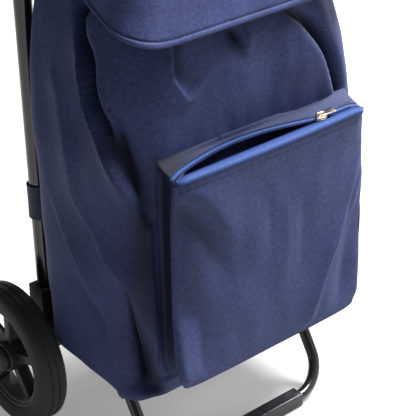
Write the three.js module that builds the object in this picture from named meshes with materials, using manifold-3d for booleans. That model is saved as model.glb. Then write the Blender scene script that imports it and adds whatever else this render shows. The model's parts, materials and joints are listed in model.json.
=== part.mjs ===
// A two-wheeled shopping trolley: a tubular steel frame with a folding front foot, carrying a
// fabric bag with a lid flap and a zipped front pocket.
//
// Millimetres, +Z up, +X to the trolley's own right seen from the front panel, +Y to the back.
// Everything is drawn with y = 0 on the bag's front panel and z = 0 on the ground. The group is
// moved along y at the end, so that the origin is under the middle of the trolley.

import * as THREE from "three";
import { mergeVertices } from "three/addons/utils/BufferGeometryUtils.js";
import Module from "manifold-3d";

const wasm = await Module();
wasm.setup();

// ---- Driving dimensions -------------------------------------------------------------------

const GAP = 0.3; // between two pieces that touch
const RUNNING_GAP = 0.5; // between two pieces that turn or slide on each other

const BAG_WIDTH = 298;
const BAG_DEPTH = 190;
const BAG_BOTTOM = 113; // height of the bag's floor above the ground
const BAG_TOP = 612; // height of the back panel's top hem
const BAG_WALL = 2; // fabric with its lining and stiffener

const FLAP_WALL = 2.5;
const FLAP_DROP = 120; // how far its front edge hangs below the hem at the back
const FLAP_OVERHANG = 15; // how far that edge stands in front of the bag
const FLAP_HALF_WIDTH = 152;
const FLAP_CROWN = 26; // rise of the flap's top above the hem it is sewn to

const POCKET_WIDTH = 242;
const POCKET_DEPTH = 35;
const POCKET_BOTTOM = 138;
const POCKET_TOP = 370;
const POCKET_WALL = 2;

const TAPE = 2; // thickness of the zip tapes
const FRONT_TAPE_WIDTH = 7;
const TOOTH_ROW = 1.7; // depth of one row of teeth
const ZIP_SLOT = 4; // between the tapes where the zip is closed
const MOUTH_OPENING = 17; // how far the back tape bows away where the zip is open
const SLIDER_X = 63; // where the slider stands
const SLIDER = { length: 12, width: 9, height: 4 };
const PULL = { length: 22, width: 8, thickness: 1.2, bar: 1.2 };

const UPRIGHT_X = 118.7; // half the distance between the uprights
const UPRIGHT_R = 9.5;
const UPRIGHT_CLEARANCE = 3.5; // between the bag's back panel and the uprights
const TUBE_WALL = 1.2;
const UPRIGHT_TOP = 700;
const COLLAR_WALL = 3; // plastic collar over each upright's top
const HANDLE_HEIGHT = 1030; // height of the grip's centre line
const HANDLE_REACH = 55; // how far the grip stands behind the uprights
const HANDLE_KNEE = 880; // height where the handle starts to lean back
const HANDLE_INSERT = 80; // length of handle tube inside each upright
const HANDLE_BEND = 45;
const GRIP_LENGTH = 130;
const GRIP_R = 15;

const ARM_R = 8; // platform arms
const CROSSBAR_R = 6;
const ARM_FRONT = 40; // where the platform arms end at the front

const WHEEL_R = 80;
const WHEEL_CLEARANCE = 0.5; // between the bag's side and each tyre
const TREAD_WIDTH = 32;
const TYRE_THICKNESS = 20;
const AXLE_R = 5;

const FOOT_R = 6.5; // foot tube
const FOOT_BEND = 39;
const FOOT_LEAN = THREE.MathUtils.degToRad(58); // slope of the legs above the ground
const FOOT_BAR_Y = 10.4;
const SLEEVE_SIDE = 17; // plastic sleeve the foot stands on
const PIN_R = 3;

// ---- Places worked out from them ----------------------------------------------------------

const UPRIGHT_Y = BAG_DEPTH + UPRIGHT_CLEARANCE + UPRIGHT_R;
const HANDLE_R = UPRIGHT_R - TUBE_WALL - RUNNING_GAP;
const ARM_Z = BAG_BOTTOM - GAP - ARM_R;
const CROSSBAR_Z = BAG_BOTTOM - GAP - CROSSBAR_R;
const FOOT_BAR_Z = SLEEVE_SIDE / 2;
const PIVOT_CLEARANCE = 1.5; // between the folded foot and the platform arm over it
const PIVOT_Z = ARM_Z - ARM_R - PIVOT_CLEARANCE - FOOT_R;
const PIVOT_Y = FOOT_BAR_Y + (PIVOT_Z - FOOT_BAR_Z) / Math.tan(FOOT_LEAN);
const ZIP_Z = POCKET_TOP + GAP; // underside of the zip tapes
const SLOT_FRONT = -POCKET_DEPTH + FRONT_TAPE_WIDTH;
const SLOT_BACK = SLOT_FRONT + ZIP_SLOT;
const WHEEL_INNER_X = BAG_WIDTH / 2 + WHEEL_CLEARANCE;
const WHEEL_OUTER_X = WHEEL_INNER_X + TREAD_WIDTH;

const SIDES = [["left", -1], ["right", 1]];
const v = (x, y, z) => new THREE.Vector3(x, y, z);
const { lerp, smoothstep } = THREE.MathUtils;

// ---- Materials ----------------------------------------------------------------------------

const finish = (color, roughness, metalness = 0) =>
  new THREE.MeshStandardMaterial({ color, roughness, metalness });

const MATERIALS = {
  paintedTube: finish(0x141518, 0.3, 0.3),
  zincSteel: finish(0xa9abae, 0.35, 0.9),
  plastic: finish(0x3a3b3d, 0.6),
  tyre: finish(0x2b2b2d, 0.9),
  foam: finish(0x232426, 0.95),
  fabric: finish(0x424d80, 0.85),
  board: finish(0x6b5a45, 0.8),
  webbing: finish(0x20294e, 0.9),
  zipTape: finish(0x3c59a3, 0.7),
  zipTeeth: finish(0x33468c, 0.45),
  sliderMetal: finish(0xc9bda6, 0.25, 1),
};

// ---- Shape helpers ------------------------------------------------------------------------

const trolley = new THREE.Group();

function add(name, geometry, material, mirrored = 1) {
  const mesh = new THREE.Mesh(geometry, material);
  mesh.name = name;
  mesh.scale.x = mirrored;
  trolley.add(mesh);
  return mesh;
}

// A closed geometry as a solid that can be cut and joined.
function solid(geometry) {
  const bare = geometry.clone();
  bare.deleteAttribute("normal");
  bare.deleteAttribute("uv");
  const merged = mergeVertices(bare, 1e-4);
  return new wasm.Manifold(
    new wasm.Mesh({
      numProp: 3,
      vertProperties: new Float32Array(merged.attributes.position.array),
      triVerts: new Uint32Array(merged.index.array),
    }),
  );
}

function meshed(body) {
  const { vertProperties, triVerts } = body.getMesh();
  return new THREE.BufferGeometry()
    .setAttribute("position", new THREE.BufferAttribute(vertProperties, 3))
    .setIndex(new THREE.BufferAttribute(triVerts, 1));
}

const cut = (geometry, ...tools) =>
  meshed(tools.reduce((body, tool) => body.subtract(solid(tool)), solid(geometry)));

const join = (geometry, ...others) =>
  meshed(others.reduce((body, other) => body.add(solid(other)), solid(geometry)));

function box([x0, x1], [y0, y1], [z0, z1]) {
  return new THREE.BoxGeometry(x1 - x0, y1 - y0, z1 - z0)
    .translate((x0 + x1) / 2, (y0 + y1) / 2, (z0 + z1) / 2);
}

// A solid of revolution about the X axis, from a closed outline of [radius, x] corners.
function turned(outline, segments = 24) {
  const points = [...outline, outline[0]].map(([r, x]) => new THREE.Vector2(r, x));
  return new THREE.LatheGeometry(points, segments).rotateZ(-Math.PI / 2);
}

const sleeve = (outer, inner, x0, x1, segments) =>
  turned([[inner, x0], [outer, x0], [outer, x1], [inner, x1]], segments);

// A round bar along X between two places.
const rod = (radius, x0, x1, segments = 16) =>
  new THREE.CylinderGeometry(radius, radius, x1 - x0, segments)
    .rotateZ(-Math.PI / 2).translate((x0 + x1) / 2, 0, 0);

// The same shapes stood upright on Z.
const upright = (geometry) => geometry.rotateY(-Math.PI / 2);

// An outline of [y, z] corners, or a shape drawn in y and z, with its thickness along X.
function plate(outline, x0, x1, segments = 6) {
  const shape = outline instanceof THREE.Shape
    ? outline : new THREE.Shape(outline.map(([y, z]) => new THREE.Vector2(y, z)));
  return new THREE.ExtrudeGeometry(shape, {
    depth: x1 - x0, bevelEnabled: false, curveSegments: segments,
  }).rotateY(Math.PI / 2).rotateX(Math.PI / 2).translate(x0, 0, 0);
}

// A route of straight runs joined by round bends, with no more points than they need.
class Route extends THREE.Curve {
  constructor(corners, radius = 0, bendStep = Math.PI / 8) {
    super();
    this.points = [corners[0]];
    for (let i = 1; i < corners.length - 1; i++) {
      this.bend(corners[i - 1], corners[i], corners[i + 1], radius, bendStep);
    }
    this.points.push(corners.at(-1));
  }

  bend(from, corner, to, radius, bendStep) {
    const back = from.clone().sub(corner).normalize();
    const ahead = to.clone().sub(corner).normalize();
    const turn = Math.PI - back.angleTo(ahead);
    const middle = back.clone().add(ahead).normalize();
    const centre = corner.clone().addScaledVector(middle, radius / Math.cos(turn / 2));
    const start = corner.clone().addScaledVector(back, radius * Math.tan(turn / 2)).sub(centre);
    const end = corner.clone().addScaledVector(ahead, radius * Math.tan(turn / 2)).sub(centre);
    const axis = start.clone().cross(end).normalize();
    const steps = Math.max(2, Math.ceil(turn / bendStep));
    for (let k = 0; k <= steps; k++) {
      this.points.push(start.clone().applyAxisAngle(axis, (turn * k) / steps).add(centre));
    }
  }

  getSpacedPoints() {
    return this.points;
  }

  getTangentAt(u) {
    const last = this.points.length - 1;
    const i = Math.round(u * last);
    const here = this.points[i];
    const tangent = v(0, 0, 0);
    if (i > 0) tangent.add(here.clone().sub(this.points[i - 1]).normalize());
    if (i < last) tangent.add(this.points[i + 1].clone().sub(here).normalize());
    return tangent.normalize();
  }
}

// A round bar or, with a wall, a tube that is open right through, along a route.
function tube(route, radius, wall = 0) {
  const section = new THREE.Shape().absarc(0, 0, radius, 0, 2 * Math.PI);
  if (wall) section.holes.push(new THREE.Path().absarc(0, 0, radius - wall, 0, 2 * Math.PI));
  return new THREE.ExtrudeGeometry(section, {
    steps: route.points.length - 1, extrudePath: route, curveSegments: 7,
  });
}

// A closed solid through rings with the same number of points, capped at both ends.
function loft(rings) {
  const count = rings[0].length;
  const points = rings.flat();
  const index = [];
  for (let r = 0; r < rings.length - 1; r++) {
    for (let i = 0; i < count; i++) {
      const a = r * count + i;
      const b = r * count + ((i + 1) % count);
      index.push(a, b, b + count, a, b + count, a + count);
    }
  }
  const cap = (first, order) => {
    const middle = points.length;
    const ring = points.slice(first, first + count);
    points.push(ring.reduce((sum, p) => sum.add(p), v(0, 0, 0)).divideScalar(count));
    for (let i = 0; i < count; i++) {
      const [a, b] = order([first + i, first + ((i + 1) % count)]);
      index.push(middle, a, b);
    }
  };
  cap((rings.length - 1) * count, ([a, b]) => [a, b]);
  cap(0, ([a, b]) => [b, a]);
  return new THREE.BufferGeometry().setFromPoints(points).setIndex(index);
}

// A rounded rectangle in plan, anticlockwise from the middle of its right side. Its height is a
// number or follows y, and its straight sides may have points between the corners.
function ring({ half, front, back, frontR, backR, height }, inset = 0, drop = 0, sideSteps = 1) {
  const cornerSteps = 4;
  const corner = (x, y, r, quarter) =>
    Array.from({ length: cornerSteps + 1 }, (_, k) => {
      const angle = ((quarter + k / cornerSteps) * Math.PI) / 2;
      return [x + (r - inset) * Math.cos(angle), y + (r - inset) * Math.sin(angle)];
    });
  const side = (s) => Array.from({ length: sideSteps - 1 }, (_, k) =>
    [s * (half - inset), lerp(back - backR, front + frontR, (k + 1) / sideSteps)]);
  return [
    ...side(1).reverse(),
    ...corner(half - backR, back - backR, backR, 0),
    ...corner(-half + backR, back - backR, backR, 1),
    ...side(-1),
    ...corner(-half + frontR, front + frontR, frontR, 2),
    ...corner(half - frontR, front + frontR, frontR, 3),
  ].map(([x, y]) => v(x, y, (typeof height === "number" ? height : height(y)) - drop));
}

// Where the front wall between two rings is, how it leans, and what is set on it.
function onFrontWall(low, high, z, standOff, geometry) {
  const share = (z - low.z) / (high.z - low.z);
  const lean = Math.atan2(high.front - low.front, high.z - low.z);
  return geometry
    .translate(0, -standOff, 0).rotateX(-lean)
    .translate(0, lerp(low.front, high.front, share), z);
}

// ---- Frame --------------------------------------------------------------------------------

const axis = (y, z) => (geometry) => geometry.translate(0, y, z);
const atAxle = axis(UPRIGHT_Y, WHEEL_R);
const atPivot = axis(PIVOT_Y, PIVOT_Z);

const BLOCK_HALF = UPRIGHT_R + 4.5; // axle block, across
const BLOCK_DEPTH = UPRIGHT_R + 2.7; // axle block, in front of and behind the upright's middle
const BLOCK_TOP = WHEEL_R + 70;
const UPRIGHT_FOOT = WHEEL_R + 18; // the upright ends above the axle

const uprightLine = new Route([v(UPRIGHT_X, UPRIGHT_Y, UPRIGHT_FOOT),
  v(UPRIGHT_X, UPRIGHT_Y, UPRIGHT_TOP)]);
const uprightRoom = new THREE.CylinderGeometry(UPRIGHT_R + GAP, UPRIGHT_R + GAP, UPRIGHT_TOP, 24)
  .rotateX(Math.PI / 2).translate(UPRIGHT_X, UPRIGHT_Y, UPRIGHT_TOP / 2 + UPRIGHT_FOOT - GAP);
const SCREW_Z = UPRIGHT_TOP - 14;
const SCREW_R = 2;
const COLLAR_R = UPRIGHT_R + COLLAR_WALL;

function collarScrewRoom() {
  return new THREE.CylinderGeometry(SCREW_R + GAP, SCREW_R + GAP, 2 * COLLAR_R + 8, 10)
    .translate(UPRIGHT_X, UPRIGHT_Y, SCREW_Z);
}

function uprights() {
  const shape = cut(tube(uprightLine, UPRIGHT_R, TUBE_WALL), collarScrewRoom());
  for (const [side, s] of SIDES) add(`${side}_upright`, shape, MATERIALS.paintedTube, s);
}

function handle() {
  const legs = (x) => [
    v(x, UPRIGHT_Y, UPRIGHT_TOP - HANDLE_INSERT),
    v(x, UPRIGHT_Y, HANDLE_KNEE),
    v(x, UPRIGHT_Y + HANDLE_REACH, HANDLE_HEIGHT),
  ];
  const route = new Route([...legs(UPRIGHT_X), ...legs(-UPRIGHT_X).reverse()], HANDLE_BEND);
  const screws = SIDES.map(([, s]) => collarScrewRoom().translate((s - 1) * UPRIGHT_X, 0, 0));
  add("handle_tube", cut(tube(route, HANDLE_R, TUBE_WALL), ...screws), MATERIALS.paintedTube);

  const lip = 3;
  const grip = sleeve(GRIP_R, HANDLE_R + GAP, -GRIP_LENGTH / 2, GRIP_LENGTH / 2, 20);
  add("handle_grip", grip.translate(0, UPRIGHT_Y + HANDLE_REACH, HANDLE_HEIGHT), MATERIALS.foam);

  for (const [side, s] of SIDES) {
    const low = UPRIGHT_TOP - 26;
    const high = UPRIGHT_TOP + lip + GAP;
    const collar = upright(turned([
      [UPRIGHT_R + GAP, low], [COLLAR_R, low], [COLLAR_R, high - 2], [COLLAR_R - 2, high],
      [HANDLE_R + GAP, high], [HANDLE_R + GAP, UPRIGHT_TOP + GAP], [UPRIGHT_R + GAP, UPRIGHT_TOP + GAP],
    ])).translate(UPRIGHT_X, UPRIGHT_Y, 0);
    add(`${side}_joint_collar`, cut(collar, collarScrewRoom()), MATERIALS.plastic, s);

    const headY = UPRIGHT_Y + COLLAR_R + GAP;
    const shank = new THREE.CylinderGeometry(SCREW_R, SCREW_R, COLLAR_R + HANDLE_R + 2, 10);
    shank.translate(0, headY - (COLLAR_R + HANDLE_R + 2) / 2 + 0.5, 0);
    const head = new THREE.CylinderGeometry(3, 4, 2.4, 12).translate(0, headY + 1.2, 0);
    const screw = join(shank, head).translate(UPRIGHT_X, 0, SCREW_Z);
    add(`${side}_collar_screw`, screw, MATERIALS.zincSteel, s);
  }
}

function platform() {
  const crossbar = (name, y, z) => {
    const bar = rod(CROSSBAR_R, -UPRIGHT_X, UPRIGHT_X).translate(0, y, z);
    const ends = SIDES.flatMap(([, s]) => [
      uprightRoom.clone().translate((s - 1) * UPRIGHT_X, 0, 0),
      rodAlongY(ARM_R + GAP, ARM_FRONT, UPRIGHT_Y - UPRIGHT_R).translate(s * UPRIGHT_X, 0, ARM_Z),
    ]);
    const pastEnds = SIDES.map(([, s]) =>
      box([s * UPRIGHT_X - ARM_R / 2, s * UPRIGHT_X + ARM_R / 2], [y - 9, y + 9], [z - 9, z + 9]));
    add(name, cut(bar, ...ends, ...pastEnds), MATERIALS.paintedTube);
  };
  crossbar("front_crossbar", ARM_FRONT + 10, CROSSBAR_Z);
  crossbar("rear_crossbar", ARM_FRONT + 90, CROSSBAR_Z);
  crossbar("lower_back_crossbar", UPRIGHT_Y, 330);
  crossbar("upper_back_crossbar", UPRIGHT_Y, BAG_TOP - 22);

  const armBack = UPRIGHT_Y - UPRIGHT_R - GAP;
  const armLine = new Route([v(UPRIGHT_X, ARM_FRONT, ARM_Z), v(UPRIGHT_X, armBack, ARM_Z)]);
  const plugR = ARM_R - TUBE_WALL - GAP;
  const plug = turned([[0, -10], [plugR, -10], [plugR, GAP], [ARM_R, GAP], [ARM_R - 1, 3], [0, 3]], 16)
    .rotateZ(-Math.PI / 2).translate(UPRIGHT_X, ARM_FRONT, ARM_Z);
  for (const [side, s] of SIDES) {
    add(`${side}_platform_arm`, tube(armLine, ARM_R, TUBE_WALL), MATERIALS.paintedTube, s);
    add(`${side}_arm_plug`, plug, MATERIALS.plastic, s);
  }
}

const rodAlongY = (radius, y0, y1) =>
  new THREE.CylinderGeometry(radius, radius, y1 - y0, 16).translate(0, (y0 + y1) / 2, 0);

// The moulded block at the foot of each upright holds the axle and the back of a platform arm.
function axleBlocks() {
  const outline = new THREE.Shape();
  outline.moveTo(UPRIGHT_Y - BLOCK_DEPTH, BLOCK_TOP);
  outline.lineTo(UPRIGHT_Y - BLOCK_DEPTH, BAG_BOTTOM - GAP);
  outline.lineTo(UPRIGHT_Y - BLOCK_DEPTH - 24, BAG_BOTTOM - GAP);
  outline.lineTo(UPRIGHT_Y - BLOCK_DEPTH - 24, ARM_Z - ARM_R - 2);
  outline.lineTo(UPRIGHT_Y - BLOCK_HALF, WHEEL_R);
  outline.absarc(UPRIGHT_Y, WHEEL_R, BLOCK_HALF, Math.PI, 2 * Math.PI);
  outline.lineTo(UPRIGHT_Y + BLOCK_DEPTH, BLOCK_TOP);
  const room = [
    uprightRoom,
    rodAlongY(ARM_R + GAP, 0, UPRIGHT_Y).translate(UPRIGHT_X, 0, ARM_Z),
    atAxle(rod(AXLE_R + GAP, 0, WHEEL_OUTER_X)),
  ];
  const block = cut(plate(outline, UPRIGHT_X - BLOCK_HALF, UPRIGHT_X + BLOCK_HALF), ...room);
  for (const [side, s] of SIDES) add(`${side}_axle_block`, block, MATERIALS.plastic, s);
}

// ---- Wheels -------------------------------------------------------------------------------

function wheels() {
  const capDepth = 8;
  const bushR = AXLE_R + 3;
  const hubR = 17;
  const hubInner = WHEEL_INNER_X;
  const hubOuter = WHEEL_OUTER_X - 1;
  const axleEnd = WHEEL_OUTER_X + capDepth - 3;
  add("axle", atAxle(rod(AXLE_R, -axleEnd, axleEnd)), MATERIALS.zincSteel);

  const shoulder = 4;
  const inner = WHEEL_R - TYRE_THICKNESS;
  const [x0, x1] = [WHEEL_INNER_X, WHEEL_OUTER_X];
  const tyre = turned([
    [inner, x0 + 2], [WHEEL_R - shoulder, x0], [WHEEL_R - 1.2, x0 + 1.2], [WHEEL_R, x0 + shoulder],
    [WHEEL_R, x1 - shoulder], [WHEEL_R - 1.2, x1 - 1.2], [WHEEL_R - shoulder, x1], [inner, x1 - 2],
  ], 40);

  const rimR = inner - GAP;
  const rimWall = 7;
  const spokes = Array.from({ length: 5 }, (_, k) =>
    box([x0 + 9, x1 - 9], [-5, 5], [hubR - 2, rimR - rimWall + 1]).rotateX((k * 2 * Math.PI) / 5));
  const rim = join(
    sleeve(rimR, rimR - rimWall, x0 + 3, x1 - 3, 40),
    sleeve(hubR, bushR + GAP, hubInner, hubOuter, 24),
    ...spokes,
  );
  const bush = sleeve(bushR, AXLE_R + GAP, hubInner, hubOuter, 16);
  const spacer = sleeve(9, AXLE_R + GAP, UPRIGHT_X + BLOCK_HALF + GAP, hubInner - GAP, 16);
  const cap = turned([
    [0, WHEEL_OUTER_X + capDepth], [10, WHEEL_OUTER_X + capDepth - 1], [14, hubOuter + 3],
    [14, hubOuter + GAP], [AXLE_R + GAP, hubOuter + GAP], [AXLE_R + GAP, axleEnd + GAP],
    [0, axleEnd + GAP],
  ].reverse());

  const pieces = [
    ["tyre", tyre, MATERIALS.tyre], ["wheel_rim", rim, MATERIALS.plastic],
    ["wheel_bush", bush, MATERIALS.plastic], ["axle_spacer", spacer, MATERIALS.plastic],
    ["axle_cap", cap, MATERIALS.plastic],
  ];
  for (const [name, shape, material] of pieces) {
    atAxle(shape);
    for (const [side, s] of SIDES) add(`${side}_${name}`, shape, material, s);
  }
}

// ---- Folding foot -------------------------------------------------------------------------

// Up the leg, and square to it on the side that faces forwards and up.
const upLeg = [Math.cos(FOOT_LEAN), Math.sin(FOOT_LEAN)];
const offLeg = [-Math.sin(FOOT_LEAN), Math.cos(FOOT_LEAN)];
const legPoint = (along, off) => [
  PIVOT_Y + along * upLeg[0] + off * offLeg[0],
  PIVOT_Z + along * upLeg[1] + off * offLeg[1],
];

function foot() {
  const top = (x) => v(x, ...legPoint(FOOT_R, 0));
  const corner = (x) => v(x, FOOT_BAR_Y, FOOT_BAR_Z);
  const route = new Route([top(UPRIGHT_X), corner(UPRIGHT_X), corner(-UPRIGHT_X), top(-UPRIGHT_X)],
    FOOT_BEND);
  const endRoom = (s) => {
    const x = [s * UPRIGHT_X - FOOT_R - 1, s * UPRIGHT_X + FOOT_R + 1];
    const above = plate([legPoint(0, 9), legPoint(0, -9), legPoint(9, -9), legPoint(9, 9)], ...x);
    return cut(above, atPivot(rod(FOOT_R, x[0] - 1, x[1] + 1, 24)));
  };
  const pinRoom = atPivot(rod(PIN_R + GAP, -UPRIGHT_X - 20, UPRIGHT_X + 20));
  const bent = cut(tube(route, FOOT_R, TUBE_WALL), endRoom(1), endRoom(-1), pinRoom);
  add("foot_tube", bent, MATERIALS.paintedTube);

  const half = SLEEVE_SIDE / 2;
  const reach = UPRIGHT_X - FOOT_BEND - 0.7;
  const section = new THREE.Shape();
  section.moveTo(half, half).lineTo(-half, half).lineTo(-half, -half).lineTo(half, -half);
  section.holes.push(new THREE.Path().absarc(0, 0, FOOT_R + RUNNING_GAP, 0, 2 * Math.PI));
  add("foot_sleeve", axis(FOOT_BAR_Y, FOOT_BAR_Z)(plate(section, -reach, reach)), MATERIALS.plastic);
}

// A bracket under each platform arm: two ears round the leg's end, and a web that stops it.
function footBrackets() {
  const earHalf = FOOT_R + RUNNING_GAP + 2;
  const web = FOOT_R + GAP; // from the leg's middle line to the web it rests on
  const earR = 7.5;
  const outline = new THREE.Shape();
  const top = ARM_Z - 6;
  const upTo = (z, off) => legPoint((z - PIVOT_Z - off * offLeg[1]) / upLeg[1], off);
  outline.moveTo(...legPoint(-4, web + 2.5));
  outline.lineTo(...upTo(top, web + 2.5));
  outline.lineTo(PIVOT_Y + earR, top);
  outline.lineTo(PIVOT_Y + earR, PIVOT_Z);
  outline.absarc(PIVOT_Y, PIVOT_Z, earR, 0, FOOT_LEAN - Math.PI, true);
  const legRoom = plate([
    legPoint(-30, web), upTo(PIVOT_Z + FOOT_R + PIVOT_CLEARANCE / 2, web),
    [PIVOT_Y + 30, PIVOT_Z + FOOT_R + PIVOT_CLEARANCE / 2], [PIVOT_Y + 30, PIVOT_Z - 40],
  ], UPRIGHT_X - FOOT_R - RUNNING_GAP, UPRIGHT_X + FOOT_R + RUNNING_GAP);
  const pinRoom = atPivot(rod(PIN_R + GAP, UPRIGHT_X - 20, UPRIGHT_X + 20));
  const armRoom = rodAlongY(ARM_R + GAP, 0, UPRIGHT_Y).translate(UPRIGHT_X, 0, ARM_Z);
  const bracket = cut(plate(outline, UPRIGHT_X - earHalf, UPRIGHT_X + earHalf),
    legRoom, pinRoom, armRoom);

  const head = earHalf + GAP;
  const pin = turned([
    [0, -head - 2], [5, -head - 2], [5, -head], [PIN_R, -head],
    [PIN_R, head], [5, head], [5, head + 2], [0, head + 2],
  ], 16).translate(UPRIGHT_X, 0, 0);
  atPivot(pin);
  for (const [side, s] of SIDES) {
    add(`${side}_foot_bracket`, bracket, MATERIALS.paintedTube, s);
    add(`${side}_foot_pin`, pin, MATERIALS.zincSteel, s);
  }
}

// ---- Bag ----------------------------------------------------------------------------------

const HALF = BAG_WIDTH / 2;

// The bag's sections from the floor up. The shoulders draw in to a gathered neck in front,
// while the back panel stays flat against the frame.
const bagRing = (z, half, front, backIn, frontR, backR) =>
  ({ z, height: z, half, front, back: BAG_DEPTH - backIn, frontR, backR });
const BAG = [
  bagRing(BAG_BOTTOM, HALF - 5, 4, 4, 32, 56),
  bagRing(BAG_BOTTOM + 4, HALF - 1, 0, 0, 36, 60),
  bagRing(BAG_TOP - 250, HALF, 0, 0, 36, 50),
  bagRing(BAG_TOP - 185, HALF - 11, 0, 1, 40, 30),
  bagRing(BAG_TOP - 140, HALF - 23, 0, 1, 44, 18),
  bagRing(BAG_TOP - 92, HALF - 37, 12, 1, 48, 15),
  bagRing(BAG_TOP - 47, HALF - 49, 40, 1, 48, 15),
  bagRing(BAG_TOP, HALF - 55, 62, 1, 45, 15),
];

// A tub: the outer rings from the floor up, and the inner rings back down to its own floor.
function tub(rings, wall) {
  const inside = rings.slice(1).map((r) => ring(r, wall)).reverse();
  inside[inside.length - 1].forEach((p) => {
    p.z = Math.max(p.z, rings[0].height + wall);
  });
  return loft([...rings.map((r) => ring(r)), ...inside]);
}

function bag() {
  add("bag_body", tub(BAG, BAG_WALL), MATERIALS.fabric);

  const floor = BAG[1].z + GAP;
  const board = (z) => ring({ ...BAG[1], height: z }, BAG_WALL + 3);
  add("base_board", loft([board(floor), board(floor + 3)]), MATERIALS.board);

  const [low, high] = [BAG[4], BAG[5]];
  const tape = box([-30, 30], [-2, 0], [-9, 9]);
  add("closure_loop_tape", onFrontWall(low, high, BAG_TOP - 107, GAP, tape), MATERIALS.webbing);

  const eyelet = turned([[3, 0], [7, 0], [6, 2], [3, 2]], 16).rotateZ(-Math.PI / 2);
  onFrontWall(BAG[6], BAG[7], BAG_TOP - 14, GAP, eyelet).translate(22, 0, 0);
  for (const [side, s] of SIDES) add(`${side}_neck_eyelet`, eyelet, MATERIALS.sliderMetal, s);
}

// ---- Flap ---------------------------------------------------------------------------------

// The flap's edge is low in front and climbs along the sides to the hem at the back.
const HEM_Z = BAG_TOP + GAP;
const FLAP_SIDE_STEPS = 6;
const edgeHeight = (y) => {
  const along = (y + FLAP_OVERHANG) / (BAG_DEPTH * 0.7);
  return lerp(HEM_Z - FLAP_DROP, HEM_Z, Math.min(1, Math.max(0, along)) ** 2);
};
const SEWN_RISE = FLAP_WALL + 0.5; // the flap is flat where it is sewn on at the back
const roofHeight = (y) =>
  HEM_Z + SEWN_RISE + (FLAP_CROWN - SEWN_RISE) * (1 - smoothstep(y, BAG_DEPTH * 0.55, BAG_DEPTH));
const flapRing = (share, half, front, back, frontR, backR) => ({
  half, front, back, frontR, backR, height: (y) => lerp(edgeHeight(y), roofHeight(y), share),
});
const FLAP = [
  flapRing(0, FLAP_HALF_WIDTH, -FLAP_OVERHANG, BAG_DEPTH, 36, 15),
  flapRing(0.5, FLAP_HALF_WIDTH - 2, -FLAP_OVERHANG + 10, BAG_DEPTH, 38, 15),
  flapRing(0.94, FLAP_HALF_WIDTH - 9, 12, BAG_DEPTH, 42, 15),
  flapRing(1, FLAP_HALF_WIDTH - 32, 45, BAG_DEPTH - 8, 40, 15),
  flapRing(1, FLAP_HALF_WIDTH - 82, 85, BAG_DEPTH - 40, 25, 15),
];

function flap() {
  const drops = [0, 1, FLAP_WALL, FLAP_WALL, FLAP_WALL];
  const inside = FLAP.map((r, i) => ring(r, FLAP_WALL, drops[i], FLAP_SIDE_STEPS)).reverse();
  const outside = FLAP.map((r) => ring(r, 0, 0, FLAP_SIDE_STEPS));
  add("flap", loft([...inside, ...outside]), MATERIALS.fabric);

  const [low, high] = FLAP.map((r) => ({ front: r.front + FLAP_WALL, z: r.height(r.front) }));
  const tape = box([-30, 30], [0, 2], [-9, 9]);
  add("closure_hook_tape", onFrontWall(low, high, BAG_TOP - 100, -GAP, tape), MATERIALS.webbing);
}

// ---- What hangs the bag on the frame ------------------------------------------------------

function hangers() {
  const face = [BAG_DEPTH + GAP, UPRIGHT_Y + UPRIGHT_R + 3.5];
  const height = [BAG_TOP - 107, BAG_TOP - 77];
  const sides = [UPRIGHT_X - UPRIGHT_R - 4, UPRIGHT_X + UPRIGHT_R + 4];
  const flange = box([sides[0] - 25, sides[0] + 1], [face[0], face[0] + 3], height);
  const clip = cut(join(box(sides, face, height), flange), uprightRoom);
  const loop = upright(sleeve(UPRIGHT_R + 2.5, UPRIGHT_R + RUNNING_GAP, 235, 275, 20))
    .translate(UPRIGHT_X, UPRIGHT_Y, 0);
  for (const [side, s] of SIDES) {
    add(`${side}_bag_clip`, clip, MATERIALS.plastic, s);
    add(`${side}_lower_loop`, loop, MATERIALS.webbing, s);
  }
}

// ---- Front pocket and its zip -------------------------------------------------------------

const POCKET_HALF = POCKET_WIDTH / 2;
const ZIP_LEFT = -POCKET_HALF + 5;
const ZIP_RIGHT = POCKET_HALF - 5;

// The back tape runs straight beside the closed teeth, and bows to the back left of the slider.
function backTapeEdge(x) {
  const open = (x - ZIP_LEFT) / (SLIDER_X - ZIP_LEFT);
  return SLOT_BACK + (open < 1 ? MOUTH_OPENING * Math.sin(Math.PI * open) : 0);
}

// A flat strip between two lines over x, lying at the zip's height.
function strip(stations, front, back) {
  const outline = [
    ...stations.map((x) => new THREE.Vector2(x, front(x))),
    ...stations.map((x) => new THREE.Vector2(x, back(x))).reverse(),
  ];
  return new THREE.ExtrudeGeometry(new THREE.Shape(outline), { depth: TAPE, bevelEnabled: false })
    .translate(0, 0, ZIP_Z);
}

function pocket() {
  const wall = { half: POCKET_HALF, front: -POCKET_DEPTH, back: -GAP, frontR: 8, backR: 3 };
  const levels = [POCKET_BOTTOM, POCKET_BOTTOM, POCKET_TOP];
  const rings = levels.map((height) => ({ ...wall, height }));
  rings[0] = { ...rings[0], half: POCKET_HALF - 1, front: -POCKET_DEPTH + 1, back: -GAP - 1 };
  rings[0].frontR = 7;
  rings[0].backR = 2.5;
  add("front_pocket", tub(rings, POCKET_WALL), MATERIALS.fabric);
}

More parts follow.
